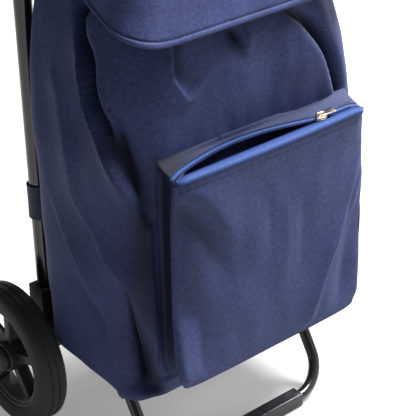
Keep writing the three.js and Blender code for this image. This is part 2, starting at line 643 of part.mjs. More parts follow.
function zip() {
  const straight = [ZIP_LEFT, ZIP_RIGHT];
  const bowed = Array.from({ length: 13 }, (_, k) => lerp(ZIP_LEFT, SLIDER_X, k / 12));
  const stations = [...bowed, ZIP_RIGHT];
  const toothGap = (ZIP_SLOT - 2 * TOOTH_ROW) / 2 - 0.1;
  const tapeEnds = [-POCKET_HALF + 1, ...stations, POCKET_HALF - 1];

  add("zip_tape_front", strip([tapeEnds[0], tapeEnds.at(-1)], () => -POCKET_DEPTH, () => SLOT_FRONT),
    MATERIALS.zipTape);
  add("zip_tape_back", strip(tapeEnds, backTapeEdge, () => -GAP), MATERIALS.zipTape);
  add("zip_teeth_front", strip(straight, () => SLOT_FRONT + toothGap,
    () => SLOT_FRONT + toothGap + TOOTH_ROW), MATERIALS.zipTeeth);
  add("zip_teeth_back", strip(stations, (x) => backTapeEdge(x) - toothGap - TOOTH_ROW,
    (x) => backTapeEdge(x) - toothGap), MATERIALS.zipTeeth);
}

// The slider stands over the teeth, with a bridge that holds the pull's crossbar.
function sliderAndPull() {
  const y = (SLOT_FRONT + SLOT_BACK) / 2;
  const z = ZIP_Z + TAPE + GAP;
  const top = z + SLIDER.height;
  const post = 1.2;
  const barRoom = PULL.bar + 2 * GAP;
  const barX = SLIDER_X - SLIDER.length / 2 + 2 * post + barRoom / 2;
  const half = SLIDER.length / 2;
  const bridge = { left: barX - barRoom / 2 - post, right: SLIDER_X + half - 1, halfY: 1 };
  const rise = barRoom + PULL.thickness;
  const arch = cut(
    box([bridge.left, bridge.right], [-bridge.halfY, bridge.halfY], [top - 1, top + rise + post]),
    box([bridge.left + post, bridge.right - post], [-3, 3], [top, top + rise]),
  );
  const body = new THREE.Shape()
    .moveTo(SLIDER_X - half + 2, -SLIDER.width / 2 + 1.5)
    .lineTo(SLIDER_X + half, -SLIDER.width / 2)
    .lineTo(SLIDER_X + half, SLIDER.width / 2)
    .lineTo(SLIDER_X - half + 2, SLIDER.width / 2 - 1.5)
    .lineTo(SLIDER_X - half, 0);
  const plateBody = new THREE.ExtrudeGeometry(body, { depth: SLIDER.height, bevelEnabled: false })
    .translate(0, 0, z);
  add("zip_slider", join(plateBody, arch).translate(0, y, 0), MATERIALS.sliderMetal);

  const windowHalf = bridge.halfY + 2 * GAP;
  const start = barX - PULL.bar / 2;
  const tab = new THREE.Shape()
    .moveTo(start, -windowHalf - 1.2)
    .lineTo(bridge.right + 2.5, -PULL.width / 2)
    .lineTo(start + PULL.length, -PULL.width / 2)
    .lineTo(start + PULL.length, PULL.width / 2)
    .lineTo(bridge.right + 2.5, PULL.width / 2)
    .lineTo(start, windowHalf + 1.2);
  const hole = new THREE.Path()
    .moveTo(start + PULL.bar, -windowHalf)
    .lineTo(start + PULL.bar, windowHalf)
    .lineTo(bridge.right + 1.5, windowHalf)
    .lineTo(bridge.right + 1.5, -windowHalf);
  tab.holes.push(hole);
  const flat = new THREE.ExtrudeGeometry(tab, { depth: PULL.thickness, bevelEnabled: false })
    .translate(0, y, top + GAP + PULL.thickness / 4);
  add("zip_pull", flat, MATERIALS.sliderMetal);
}

// ---- The whole trolley --------------------------------------------------------------------

uprights();
handle();
platform();
axleBlocks();
wheels();
foot();
footBrackets();
bag();
flap();
hangers();
pocket();
zip();
sliderAndPull();

const FRONT = -POCKET_DEPTH;
const REAR = UPRIGHT_Y + WHEEL_R;
trolley.position.y = -(FRONT + REAR) / 2;

export default trolley;
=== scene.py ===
import json
import math

import bmesh
import bpy
import numpy as np
from mathutils import Matrix, Vector, noise

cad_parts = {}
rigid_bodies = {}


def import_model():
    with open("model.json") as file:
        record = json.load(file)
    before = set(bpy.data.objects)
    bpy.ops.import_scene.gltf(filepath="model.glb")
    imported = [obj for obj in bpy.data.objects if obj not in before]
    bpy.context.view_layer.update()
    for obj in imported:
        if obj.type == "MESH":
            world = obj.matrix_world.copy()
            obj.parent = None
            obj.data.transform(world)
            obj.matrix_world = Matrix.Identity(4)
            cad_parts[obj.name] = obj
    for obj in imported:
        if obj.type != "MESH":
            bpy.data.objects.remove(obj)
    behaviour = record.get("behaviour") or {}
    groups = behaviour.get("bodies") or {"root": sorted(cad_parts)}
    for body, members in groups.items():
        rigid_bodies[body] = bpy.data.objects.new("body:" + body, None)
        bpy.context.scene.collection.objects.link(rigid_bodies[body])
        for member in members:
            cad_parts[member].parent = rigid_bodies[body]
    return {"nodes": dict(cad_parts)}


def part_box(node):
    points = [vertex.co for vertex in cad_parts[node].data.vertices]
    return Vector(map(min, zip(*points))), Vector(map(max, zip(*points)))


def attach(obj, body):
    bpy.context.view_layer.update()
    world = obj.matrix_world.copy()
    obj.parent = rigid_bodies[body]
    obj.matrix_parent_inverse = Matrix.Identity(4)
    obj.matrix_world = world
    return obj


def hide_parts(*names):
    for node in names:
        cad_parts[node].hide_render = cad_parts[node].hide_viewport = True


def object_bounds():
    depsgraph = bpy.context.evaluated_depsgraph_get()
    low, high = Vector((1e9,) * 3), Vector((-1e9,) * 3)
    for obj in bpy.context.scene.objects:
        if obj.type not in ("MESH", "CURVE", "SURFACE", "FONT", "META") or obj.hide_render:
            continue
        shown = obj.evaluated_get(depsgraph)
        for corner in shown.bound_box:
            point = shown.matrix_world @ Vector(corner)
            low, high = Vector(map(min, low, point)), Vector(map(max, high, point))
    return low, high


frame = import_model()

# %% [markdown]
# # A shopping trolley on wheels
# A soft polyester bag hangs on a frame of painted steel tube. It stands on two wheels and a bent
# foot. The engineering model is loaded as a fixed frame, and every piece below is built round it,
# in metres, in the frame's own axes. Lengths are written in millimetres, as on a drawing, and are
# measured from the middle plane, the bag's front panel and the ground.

MM = 0.001
cad_low, cad_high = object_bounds()
FRONT_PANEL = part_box("bag_body")[0].y


def at(x, y, z):
    """A point in millimetres from the middle plane, the bag's front panel and the ground."""
    return Vector((x * MM, y * MM + FRONT_PANEL, z * MM))


def extent(node):
    """The lowest and highest corner of a CAD node in the same millimetres."""
    low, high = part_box(node)
    return [Vector((p.x, p.y - FRONT_PANEL, p.z)) / MM for p in (low, high)]


print("size in mm:", [round(v * 1000) for v in cad_high - cad_low])

# %% [markdown]
# ## Camera, light and floor
# The trolley is seen from its left front corner and a little from above, through a long lens, so
# upright lines stay nearly parallel. The studio is white. The key is a large soft light high on the
# right, so the bag's left side is in shade and the shadows fall to the left. A weak light fills the
# front, and a third grazes the right-hand side. The colours are shown without a film look, so a
# colour chosen by its hex value comes out as that colour.

# %% Camera, light and floor
scene = bpy.context.scene
scene.view_settings.view_transform = "Standard"
camera = bpy.data.objects.new("camera", bpy.data.cameras.new("camera"))
scene.collection.objects.link(camera)
camera.location = (-0.7855, -0.9978, 0.9567)
camera.rotation_euler = (
    Matrix.Rotation(math.radians(-39.8), 3, "Z")
    @ Matrix.Rotation(math.radians(60.3), 3, "X")
    @ Matrix.Rotation(math.radians(-0.7), 3, "Z")
).to_euler()
camera.data.lens = 118.73
camera.data.clip_end = 50
scene.camera = camera


def linear(hex_colour):
    """An sRGB hex colour as the linear numbers that a shader wants."""
    parts = [int(hex_colour[i : i + 2], 16) / 255 for i in (1, 3, 5)]
    return [c / 12.92 if c <= 0.04045 else ((c + 0.055) / 1.055) ** 2.4 for c in parts] + [1.0]


def softbox(name, place, target, size, watts):
    """A square area light that looks at a point."""
    lamp = bpy.data.lights.new(name, "AREA")
    lamp.size, lamp.energy = size, watts
    light = bpy.data.objects.new(name, lamp)
    light.location = place
    light.rotation_euler = (Vector(target) - Vector(place)).to_track_quat("-Z", "Y").to_euler()
    scene.collection.objects.link(light)


softbox("key_softbox", (1.25, -0.5, 3.0), (0, 0, 0.35), 1.2, 425)
softbox("front_softbox", (1.3, -2.5, 1.2), (0, 0, 0.35), 1.0, 4)
softbox("side_softbox", (2.5, 0.1, 1.2), (0, 0, 0.4), 0.9, 55)
world = bpy.data.worlds.new("studio")
world.use_nodes = True
world.node_tree.nodes["Background"].inputs["Color"].default_value = linear("#f7f8fa")
world.node_tree.nodes["Background"].inputs["Strength"].default_value = 0.2
scene.world = world
bpy.ops.mesh.primitive_plane_add(size=8, location=(0, 0, cad_low.z))
floor = bpy.context.object
floor.name = "studio_floor"
print("camera at", [round(v, 2) for v in camera.location], "lens", camera.data.lens)

# %% [markdown]
# ## Finishes
# Each finish starts from what the real material is and how its surface was made. One helper adds a
# node with its settings and links. A real size in millimetres gives each pattern its scale.

# %% Helpers for the finishes
def add(tree, kind, inputs=None, **settings):
    """Adds a node, sets its settings, and gives its inputs values or links."""
    node = tree.nodes.new(kind)
    for name, value in settings.items():
        setattr(node, name, value)
    for key, value in (inputs or {}).items():
        if isinstance(value, bpy.types.NodeSocket):
            tree.links.new(value, node.inputs[key])
        else:
            node.inputs[key].default_value = value
    return node


def finish(name, **values):
    """A new material, its node tree and its shader."""
    material = bpy.data.materials.new(name)
    material.use_nodes = True
    shader = material.node_tree.nodes["Principled BSDF"]
    for key, value in values.items():
        shader.inputs[key.replace("_", " ")].default_value = value
    return material, material.node_tree, shader


def two_colours(tree, shader, factor, dark, light, low=0.3, high=0.7):
    """Colours a surface from dark to light by a pattern."""
    ramp = add(tree, "ShaderNodeValToRGB", {0: factor})
    ramp.color_ramp.elements[0].position = low
    ramp.color_ramp.elements[1].position = high
    ramp.color_ramp.elements[0].color = linear(dark)
    ramp.color_ramp.elements[1].color = linear(light)
    tree.links.new(ramp.outputs[0], shader.inputs["Base Color"])
    return ramp


def relief(tree, shader, height, depth_mm, strength=1.0):
    """Raises a surface by a pattern, by at most that depth."""
    raised = add(
        tree, "ShaderNodeBump", {"Height": height, "Distance": depth_mm * MM, "Strength": strength}
    )
    tree.links.new(raised.outputs[0], shader.inputs["Normal"])


def grain(tree, vector, size_mm, detail=2.0, roughness=0.5):
    """Noise whose blotches are about that many millimetres across."""
    noise_inputs = {"Vector": vector, "Scale": 1 / (size_mm * MM), "Detail": detail}
    noise_inputs["Roughness"] = roughness
    return add(tree, "ShaderNodeTexNoise", noise_inputs).outputs[0]


def object_place(tree):
    """The place of a point in metres, in the frame's own axes."""
    return add(tree, "ShaderNodeTexCoord").outputs["Object"]


def wave_scale(gap_mm):
    """The scale at which a wave texture's bands, 2 pi / 20 long at scale 1, are that far apart."""
    return 2 * math.pi / 20 / (gap_mm * MM)


# %% [markdown]
# ### Woven polyester
# The bag is plain-woven polyester, about 600 denier, piece-dyed navy and slightly slubby: the yarn
# is uneven, so the cloth shows short light and dark streaks along its warp, drawn 1 mm wide and
# 3.4 mm long. The yarns are 0.5 mm apart, too fine to show, so they are drawn 1.1 mm apart. The
# cloth is matt with a faint sheen. Little light gets in between real folds, which are deeper than
# modelled ones, so each mesh carries a mark called hollow, and the colour darkens where it is high.

# %% Woven polyester, zip tape and webbing
def cloth(name, dark, light, yarn_mm, streak_mm, sheen, rough=0.68, depth=0.22):
    material, tree, shader = finish(
        name, Roughness=rough, Sheen_Weight=sheen, Sheen_Roughness=0.45, Specular_IOR_Level=0.2
    )
    shader.inputs["Sheen Tint"].default_value = linear("#8f9ac8")
    laid_flat = add(tree, "ShaderNodeUVMap", uv_map="cloth").outputs[0]
    across, along = streak_mm
    warp = add(
        tree, "ShaderNodeMapping", {"Vector": laid_flat, "Scale": (1 / across, 1 / along, 1.0)}
    ).outputs[0]
    slub = add(
        tree, "ShaderNodeTexNoise", {"Vector": warp, "Scale": 1 / MM, "Detail": 2.0, "Roughness": 0.6}
    ).outputs[0]
    mottle = grain(tree, laid_flat, 5, 3.0, 0.6)
    mixed = add(tree, "ShaderNodeMix", {0: 0.42, 2: slub, 3: mottle}).outputs[0]
    ramp = two_colours(tree, shader, mixed, dark, light, 0.36, 0.64)
    inside = add(tree, "ShaderNodeAttribute", attribute_name="hollow").outputs[2]
    darker = {0: inside, 6: ramp.outputs[0], 7: linear("#05081a")}
    darker = add(tree, "ShaderNodeMix", darker, data_type="RGBA").outputs[2]
    tree.links.new(darker, shader.inputs["Base Color"])
    rows = []
    for direction in ("X", "Y"):
        wave = {"Vector": laid_flat, "Scale": wave_scale(yarn_mm), "Distortion": 0.6}
        rows.append(
            add(tree, "ShaderNodeTexWave", wave, bands_direction=direction, wave_profile="SIN")
        )
    weave = add(tree, "ShaderNodeMix", {0: 0.5, 2: rows[0].outputs[1], 3: rows[1].outputs[1]})
    relief_height = add(tree, "ShaderNodeMix", {0: 0.45, 2: weave.outputs[0], 3: mixed})
    relief(tree, shader, relief_height.outputs[0], depth)
    return material


polyester = cloth("woven_polyester_navy", "#232a4b", "#363f68", 1.1, (1.0, 3.4), 0.07)
zip_tape = cloth("knitted_zip_tape_blue", "#182a52", "#233c70", 1.6, (1.2, 2.6), 0.05)
thread, tree, shader = finish("bonded_nylon_thread_navy", Roughness=0.75, Specular_IOR_Level=0.2)
place = object_place(tree)
two_colours(tree, shader, grain(tree, place, 1.5), "#12162c", "#191f3a")
webbing, tree, shader = finish(
    "polypropylene_webbing_navy", Roughness=0.7, Sheen_Weight=0.2, Sheen_Roughness=0.5
)
place = object_place(tree)
two_colours(tree, shader, grain(tree, place, 1.6, 3.0), "#1b2138", "#272f4c")
ribs = {"Vector": place, "Scale": wave_scale(2.2), "Distortion": 0.4}
ribs = add(tree, "ShaderNodeTexWave", ribs, bands_direction="Z").outputs[1]
relief(tree, shader, ribs, 0.4)
print("cloths:", polyester.name, zip_tape.name, webbing.name, thread.name)

# %% [markdown]
# ### Painted tube, plated steel and mouldings
# The tubes are steel, dip-coated in gloss black epoxy, which levels into a faint orange peel. The
# axle, pins and screws are zinc plated and the zip's slider is nickel plated, so both are bare metal
# to the light. Clips, collars and blocks are moulded in black nylon with a spark-eroded grain, and
# the foot's sleeve is dark grey polypropylene, scuffed where it drags. Tyre and grip are foams. The
# floor is matt white acrylic, lit a little from below, which keeps the shadows on it pale.

# %% Painted tube, plated steel and mouldings
def hard(name, dark, light, grain_mm, depth_mm, detail=3.0, rough=(0.3, 0.5), wear_mm=45, **values):
    """A finish with two close shades, a fine relief, and roughness that wanders as it wears."""
    material, tree, shader = finish(name, **values)
    place = object_place(tree)
    worn = grain(tree, place, wear_mm, 4.0, 0.6)
    two_colours(tree, shader, worn, dark, light)
    spread = add(
        tree, "ShaderNodeMapRange", {0: worn, 1: 0.3, 2: 0.7, 3: rough[0], 4: rough[1]}
    ).outputs[0]
    tree.links.new(spread, shader.inputs["Roughness"])
    relief(tree, shader, grain(tree, place, grain_mm, detail), depth_mm)
    return material


epoxy = hard("epoxy_painted_steel_black", "#0b0b0d", "#151517", 6, 0.02, 1.0, (0.14, 0.24),
             Coat_Weight=0.35, Coat_Roughness=0.08)
zinc = hard("zinc_plated_steel", "#a3a6a9", "#bcbfc1", 1.5, 0.02, 2.0, (0.28, 0.42), 12,
            Metallic=1.0)
nickel = hard("nickel_plated_zinc_warm", "#cfc2a8", "#e6dcc8", 1.2, 0.01, 2.0, (0.16, 0.3), 4,
              Metallic=1.0)
nylon = hard("moulded_nylon_black", "#191919", "#242425", 1.0, 0.05, 2.0, (0.42, 0.6))
polypropylene = hard("moulded_polypropylene_grey", "#222224", "#333336", 1.3, 0.04, 3.0,
                     (0.3, 0.5), 9)
tread_foam = hard("foamed_rubber_black", "#232323", "#303031", 1.6, 0.12, 4.0, (0.72, 0.9), 14)
grip_foam = hard("nitrile_foam_black", "#1c1c1d", "#29292a", 1.2, 0.14, 4.0, (0.8, 0.95), 18)
hardboard = hard("pressed_hardboard_brown", "#5e4b38", "#7b664d", 2.2, 0.08, 4.0, (0.7, 0.85), 6)
coil_nylon = hard("nylon_coil_blue", "#1d2a58", "#2b3a76", 0.8, 0.01, 1.0, (0.3, 0.42), 3)
floor_paint, tree, shader = finish("lit_acrylic_floor_white", Roughness=0.85, Emission_Strength=0.29)
place = object_place(tree)
two_colours(tree, shader, grain(tree, place, 60, 2.0), "#8e8e8e", "#949494")
floor.data.materials.append(floor_paint)
print("hard finishes:", epoxy.name, zinc.name, nylon.name, tread_foam.name, "and others")

# %% [markdown]
# ## Cutting and sewing the soft goods
# A bag is cut from flat panels, but what is seen is one skin that hangs from its seams and folds
# where it is slack. So each soft piece is a fine net of points, lofted through the sections of the
# engineering model. Folds are then worked into it: each one follows a line on the skin, with a
# height at each point of that line and a width on each side. The skin gets its thickness last. No
# cloth is simulated, so a fold is only as true as the line it was given.

# %% A net of points, and folds along lines on it
def section(half, front, back, front_r, back_r, counts):
    """Points round one level, from the middle of the back by the left side to the front and on."""
    quarter = np.linspace(0, math.pi / 2, 2 + counts[1])[1:-1]
    corner = np.linspace(0, math.pi / 2, 2 + counts[3])[1:-1]
    left = [(x, back) for x in -np.linspace(0, half - back_r, counts[0])]
    left += [
        (back_r - half - back_r * math.sin(a), back - back_r + back_r * math.cos(a))
        for a in quarter
    ]
    left += [(-half, y) for y in np.linspace(back - back_r, front + front_r, counts[2])]
    left += [
        (front_r - half - front_r * math.cos(a), front + front_r - front_r * math.sin(a))
        for a in corner
    ]
    left += [(x, front) for x in np.linspace(front_r - half, 0, counts[4])]
    return np.array(left + [(-x, y) for x, y in left[-2:0:-1]])


def softened_levels(levels, table, reach):
    """Sizes at each level, from a table of sections, with the corners between sections eased."""
    fine = np.arange(table[0][0] - 60.0, table[-1][0] + 60.0, 1.0)
    window = np.exp(-0.5 * (np.arange(-3 * reach, 3 * reach + 1) / reach) ** 2)
    columns = []
    for column in np.array(table, float).T[1:]:
        drawn = np.interp(fine, [row[0] for row in table], column)
        eased = np.convolve(drawn, window / window.sum(), "same")
        columns.append(np.interp(levels, fine, eased))
    return np.array(columns).T


class Skin:
    """A net of points, its flat coordinates round and up, and how far folds lift it."""

    def __init__(self, net, closed=True):
        self.net, self.closed = np.array(net, float), closed
        self.rows, self.columns = self.net.shape[:2]
        following = np.roll(self.net, -1, 1) if closed else self.net
        ahead = following - np.roll(self.net, 1, 1) if closed else np.gradient(self.net, axis=1)
        up = np.gradient(self.net, axis=0)
        outward = np.cross(ahead, up)
        self.outward = outward / np.maximum(np.linalg.norm(outward, axis=2, keepdims=True), 1e-9)
        steps = np.linalg.norm(np.diff(self.net, axis=1), axis=2)
        self.round = np.concatenate([np.zeros((self.rows, 1)), np.cumsum(steps, 1)], 1)
        rise = np.linalg.norm(np.diff(self.net, axis=0), axis=2)
        self.up = np.concatenate([np.zeros((1, self.columns)), np.cumsum(rise, 0)], 0)
        middle = self.columns // 2
        self.round -= self.round[:, middle : middle + 1]
        self.lift = np.zeros((self.rows, self.columns))
        self.hollow = np.zeros((self.rows, self.columns))

    def flat(self, point):
        """The flat coordinates of the place on the skin that is nearest to a point."""
        away = np.linalg.norm(self.net - np.array(point[:3]), axis=2)
        row, column = np.unravel_index(away.argmin(), away.shape)
        return self.round[row, column], self.up[row, column]

    def along(self, line, left, right, power=1.4):
        """Heights that fall off beside a line of (x, y, z, height) drawn down, by its widths."""
        stations = np.array([(*self.flat(p), p[3]) for p in line], float)
        stations = eased_line(stations)
        here = np.stack([self.round.ravel(), self.up.ravel()], 1)
        nearest, side, along = beside(stations[:, :2], here)
        height = np.interp(along, np.arange(len(stations)), stations[:, 2])
        width = np.where(side > 0, right, left)
        return (height * np.exp(-((nearest / width) ** power))).reshape(self.lift.shape)

    def fold(self, line, left, right):
        self.lift += self.along(line, left, right)

    def darken(self, line, left, right):
        """Marks a hollow along a line of (x, y, z, share), where little light gets in."""
        self.hollow = np.maximum(self.hollow, self.along(line, left, right, 2.0))

    def points(self):
        return self.net + self.outward * self.lift[:, :, None]

    def mark_hollows(self, reach, full):
        """Marks how deep each point lies below the skin around it, from 0 to 1 at full depth."""
        level = self.lift
        for axis in (0, 1):
            shifts = range(-reach, reach + 1)
            level = sum(np.roll(level, shift, axis) for shift in shifts) / len(shifts)
        self.hollow = np.maximum(self.hollow, np.clip((level - self.lift - 0.6) / full, 0, 1))


def eased_line(stations, steps=6):
    """A smooth curve through the stations, by Catmull and Rom's rule."""
    padded = np.vstack([2 * stations[0] - stations[1], stations, 2 * stations[-1] - stations[-2]])
    curve = []
    for k in range(1, len(padded) - 2):
        p0, p1, p2, p3 = padded[k - 1 : k + 3]
        for t in np.arange(steps) / steps:
            curve.append(
                0.5
                * (2 * p1 + (p2 - p0) * t + (2 * p0 - 5 * p1 + 4 * p2 - p3) * t**2)
                + 0.5 * (3 * p1 - p0 - 3 * p2 + p3) * t**3
            )
    return np.array([*curve, stations[-1]])


def beside(line, points):
    """How far points are from a line, on which side of it, and where along it they are nearest."""
    nearest, side, along = np.full(len(points), 1e9), np.ones(len(points)), np.zeros(len(points))
    for k, (a, b) in enumerate(zip(line[:-1], line[1:])):
        way = b - a
        t = np.clip((points - a) @ way / max(way @ way, 1e-9), 0, 1)
        off = points - a - t[:, None] * way
        away = np.hypot(off[:, 0], off[:, 1])
        closer = away < nearest
        nearest[closer], along[closer] = away[closer], k + t[closer]
        side[closer] = np.sign(way[0] * off[closer, 1] - way[1] * off[closer, 0])
    return nearest, side, along


def bump(value, centre, width):
    """1 at the centre, falling to nothing over a few widths on either side."""
    return np.exp(-(((value - centre) / width) ** 2))


def fade(value, start, end):
    """From 0 at start to 1 at end, smoothly."""
    t = np.clip((value - start) / (end - start), 0, 1)
    return t * t * (3 - 2 * t)


# %% [markdown]
# ## Bag body
# The body's back hangs flat against the frame and its floor is stiff, so those stay straight. The
# front and sides are slack: below the flap the cloth is drawn in to a gathered neck, which throws
# deep folds down from each shoulder and a soft loop in front. Lower down, the load pulls a long
# crease across the left side to the pocket's foot and leaves a hollow under it.

# %% The body's net
BODY_SECTIONS = [
    (113, 144, 4, 186, 32, 56), (117, 148, 0, 190, 36, 60), (362, 149, 0, 190, 36, 50),
    (427, 138, 0, 189, 40, 30), (472, 126, 0, 189, 44, 18), (520, 112, 12, 189, 48, 15),
    (565, 100, 40, 189, 48, 15), (612, 94, 62, 189, 45, 15),
]
BODY_COUNTS = (22, 12, 44, 22, 42)
body_levels = np.concatenate([
    [113, 113.6, 115, 117], np.linspace(120, 480, 118), np.linspace(484, 612, 28)
])
body_sizes = softened_levels(body_levels, BODY_SECTIONS[1:], 9)
for i, share in enumerate((1.0, 0.55, 0.2)):  # the floor's edge is drawn in a little
    body_sizes[i, :3] += np.array((-4, 4, -4)) * share
body_net = np.array([
    [(x, y, z) for x, y in section(*sizes, BODY_COUNTS)]
    for z, sizes in zip(body_levels, body_sizes)
])
x, y, z = np.moveaxis(body_net, 2, 0)
body_net[:, :, 2] -= 5.5 * fade(np.abs(x), 126, 144) * fade(-y, -60, -10) * fade(-z, -165, -114)
body = Skin(body_net)
print("bag body:", body.rows, "by", body.columns, "points")


# %% Folds in the body
SHOULDER_FOLDS = [
    # the ridge behind the left shoulder's tuck, the tuck, and the front panel's edge beside it
    ([(-118, 117, 498, 4), (-128, 97, 467, 10), (-135, 74, 440, 15), (-139, 62, 420, 16),
      (-143, 42, 396, 15), (-143, 24, 368, 12), (-137, 12, 344, 7), (-131, 6, 322, 0)], 11, 5),
    ([(-121, 95, 489, -33), (-125, 86, 474, -30), (-130, 72, 458, -14), (-134, 64, 442, 0)], 12, 6),
    ([(-127, 80, 468, -4), (-130, 72, 458, -14), (-136, 60, 434, -20), (-140, 47, 415, -17),
      (-143, 38, 400, -14), (-144, 30, 388, -6)], 4, 5),
    ([(-120, 82, 493, 10), (-126, 77, 471, 11), (-131, 65, 452, 10), (-137, 54, 431, 8),
      (-140, 47, 415, 6), (-143, 36, 397, 2)], 4, 26),
    ([(-142, 32, 410, -8), (-141, 22, 388, -15), (-138, 12, 363, -17), (-133, 6, 343, -13),
      (-126, 3, 320, -5)], 6, 18),
]
LEFT_FOLDS = [
    # the long crease to the pocket's foot, the hollow under it, and two softer folds behind
    ([(-149, 86, 312, 2), (-149, 68, 298, 6), (-149, 48, 284, 9), (-149, 34, 272, 12),
      (-145, 20, 256, 13), (-141, 13, 243, 13), (-135, 7, 222, 12), (-129, 4, 197, 11),
      (-125, 2, 172, 9), (-123, 1, 148, 7)], 4, 20),
    ([(-148, 27, 250, -3), (-147, 25, 216, -15), (-145, 22, 188, -24), (-141, 17, 162, -26),
      (-136, 11, 140, -21), (-131, 7, 127, -10)], 13, 12),
    ([(-149, 130, 306, 1), (-149, 111, 274, 6), (-149, 94, 255, 8), (-149, 82, 240, 8),
      (-148, 70, 220, 5), (-148, 58, 200, 0)], 5, 18),
    ([(-148, 104, 218, -2), (-148, 84, 200, -5), (-148, 65, 185, -5), (-148, 45, 163, -2)], 12, 12),
    ([(-146, 120, 420, 4), (-149, 100, 370, 5), (-149, 92, 330, 3), (-149, 84, 300, 0)], 16, 10),
]
FRONT_FOLDS = [
    # the loop of cloth left of the middle, with the hollow inside it
    ([(-97, 6, 484, 7), (-97, 3, 471, 8), (-98, 2, 458, 8), (-94, 0, 446, 8), (-87, 0, 437, 7),
      (-82, 0, 431, 5), (-75, 0, 431, 4.5), (-68, 0, 438, 3.5), (-57, 0, 448, 2),
      (-45, 0, 455, 0)], 7, 3),
    ([(-90, 4, 484, -5), (-90, 1, 465, -5), (-86, 0, 452, -3), (-79, 0, 443, -1)], 4, 16),
    # the small tuck in the middle, and its lip
    ([(-29, 2, 490, -14), (-22, 1, 476, -13), (-17, 0, 464, -5)], 10, 3),
    ([(-14, 3, 488, 4), (-11, 0, 472, 4), (-9, 0, 460, 1)], 3, 12),
    # the right shoulder's edge, its tuck, and the strip of the side that shows behind it
    ([(28, 2, 482, 2), (52, 0, 467, 6), (69, 0, 450, 8), (83, 0, 429, 9), (92, 0, 409, 9),
      (102, 0, 389, 7), (110, 0, 373, 2)], 26, 4),
    ([(34, 3, 488, -3), (58, 1, 472, -11), (76, 0, 453, -19), (92, 0, 432, -23), (101, 0, 413, -25),
      (112, 0, 392, -25), (120, 1, 374, -15)], 5, 8),
    ([(84, 0, 476, 1), (103, 0, 438, 3), (115, 1, 407, 4), (125, 2, 376, 2)], 5, 16),
    # the front panel's soft bulge over the pocket
    ([(-66, 0, 462, 1), (-10, 0, 440, 4), (45, 0, 424, 4)], 34, 34),
]
RIGHT_FOLDS = [
    ([(122, 110, 490, 3), (132, 88, 452, 4), (142, 60, 410, 4), (146, 34, 372, 2),
      (143, 16, 340, 1)], 8, 18),
    ([(124, 84, 482, -13), (132, 66, 450, -12), (140, 44, 414, -7), (144, 26, 384, -2)], 6, 6),
    ([(149, 88, 326, 2), (149, 66, 296, 7), (148, 44, 262, 10), (143, 20, 220, 8),
      (136, 8, 176, 3)], 22, 7),
    ([(149, 60, 240, -4), (147, 36, 208, -9), (141, 14, 172, -10), (134, 7, 150, -4)], 10, 10),
    ([(149, 134, 300, 2), (149, 116, 262, 6), (149, 102, 226, 4), (148, 92, 200, 0)], 14, 8),
]
for line, left, right in SHOULDER_FOLDS + LEFT_FOLDS + FRONT_FOLDS + RIGHT_FOLDS:
    body.fold(line, left, right)


def slack(net, size, seed):
    """Soft unevenness of that size in millimetres, the same each time, from -1 to 1."""
    return np.array(
        [[noise.noise(Vector(p) / size + Vector((seed, 0, 0))) for p in row] for row in net]
    )


x, y, z = np.moveaxis(body.net, 2, 0)
soft, fine = slack(body.net * (1, 1, 0.6), 42, 3.0), slack(body.net * (1, 1, 0.4), 14, 7.0)
body.lift += soft * 3.2 + fine * 0.8
GATHER = 24  # from one gather of the neck to the next
gathers = np.sin(body.round * 2 * math.pi / GATHER + 1.3 * np.sin(body.round / 31))
body.lift += 4.0 * gathers * fade(z, 495, 560) * fade(-y, -150, -110)
body.lift *= fade(z, 117, 127) * (1 - 0.7 * fade(z, 575, 606))
body.lift += 1.2 * bump(z, 606, 4.5)  # the turned hem round the neck
behind_pocket = (y < 3) & (np.abs(x) < 124) & (z > 134) & (z < 373)
body.lift = np.where(behind_pocket, np.minimum(body.lift, -1.2), body.lift)
# the cloth lies flat under the loop tape, by the wheel and against the frame
tape_room = fade(-np.abs(x), -48, -36) * (y < 40)
tape_room *= 1 - np.clip(np.abs(z - 505) / 22 - 0.6, 0, 1)
body.lift *= 1 - tape_room
beside_wheel = fade(y, 85, 105) * fade(-z, -185, -168) * (np.abs(x) > 120)
body.lift = body.lift * (1 - beside_wheel) - 0.9 * beside_wheel
against_frame = fade(y, 165, 182)
pressed = np.clip(body.lift * 0.4 - 0.8, -2.5, 0)
body.lift = body.lift * (1 - against_frame) + against_frame * pressed
body.mark_hollows(5, 5.5)
DEEP_HOLLOWS = [
    # painted shade, under the lower crease, in the shoulder's tuck and below it, beside the pocket, on
    # the right
    ([(-142, 17, 226, 0.1), (-140, 14, 202, 0.6), (-137, 11, 178, 0.9), (-132, 7, 154, 0.95),
      (-128, 4, 134, 0.9), (-121, 1, 124, 0.8)], 13, 10),
    ([(-120, 100, 492, 0.95), (-125, 88, 472, 0.95), (-130, 73, 457, 0.5)], 8, 8),
    ([(-129, 76, 460, 0.9), (-136, 60, 434, 0.95), (-140, 47, 415, 0.95), (-143, 36, 397, 0.9),
      (-141, 22, 376, 0.8)], 3, 4.5),
    ([(-143, 30, 392, 0.5), (-140, 16, 370, 0.8), (-134, 7, 346, 0.7), (-127, 3, 318, 0.5)], 6, 11),
    ([(-128, 4, 350, 0.4), (-129, 4, 315, 0.8), (-129, 4, 270, 0.85), (-128, 4, 225, 0.7),
      (-125, 3, 190, 0.4)], 18, 9),
    ([(50, 1, 476, 0.3), (76, 0, 453, 0.85), (92, 0, 432, 0.95), (101, 0, 413, 0.95),
      (112, 0, 392, 0.95), (120, 1, 374, 0.8)], 6, 6),
    ([(-30, 2, 492, 0.9), (-23, 1, 478, 0.8), (-17, 0, 466, 0.3)], 7, 3),
]
for line, left, right in DEEP_HOLLOWS:
    body.darken(line, left, right)
print("deepest and highest fold in mm:", body.lift.min().round(1), body.lift.max().round(1))


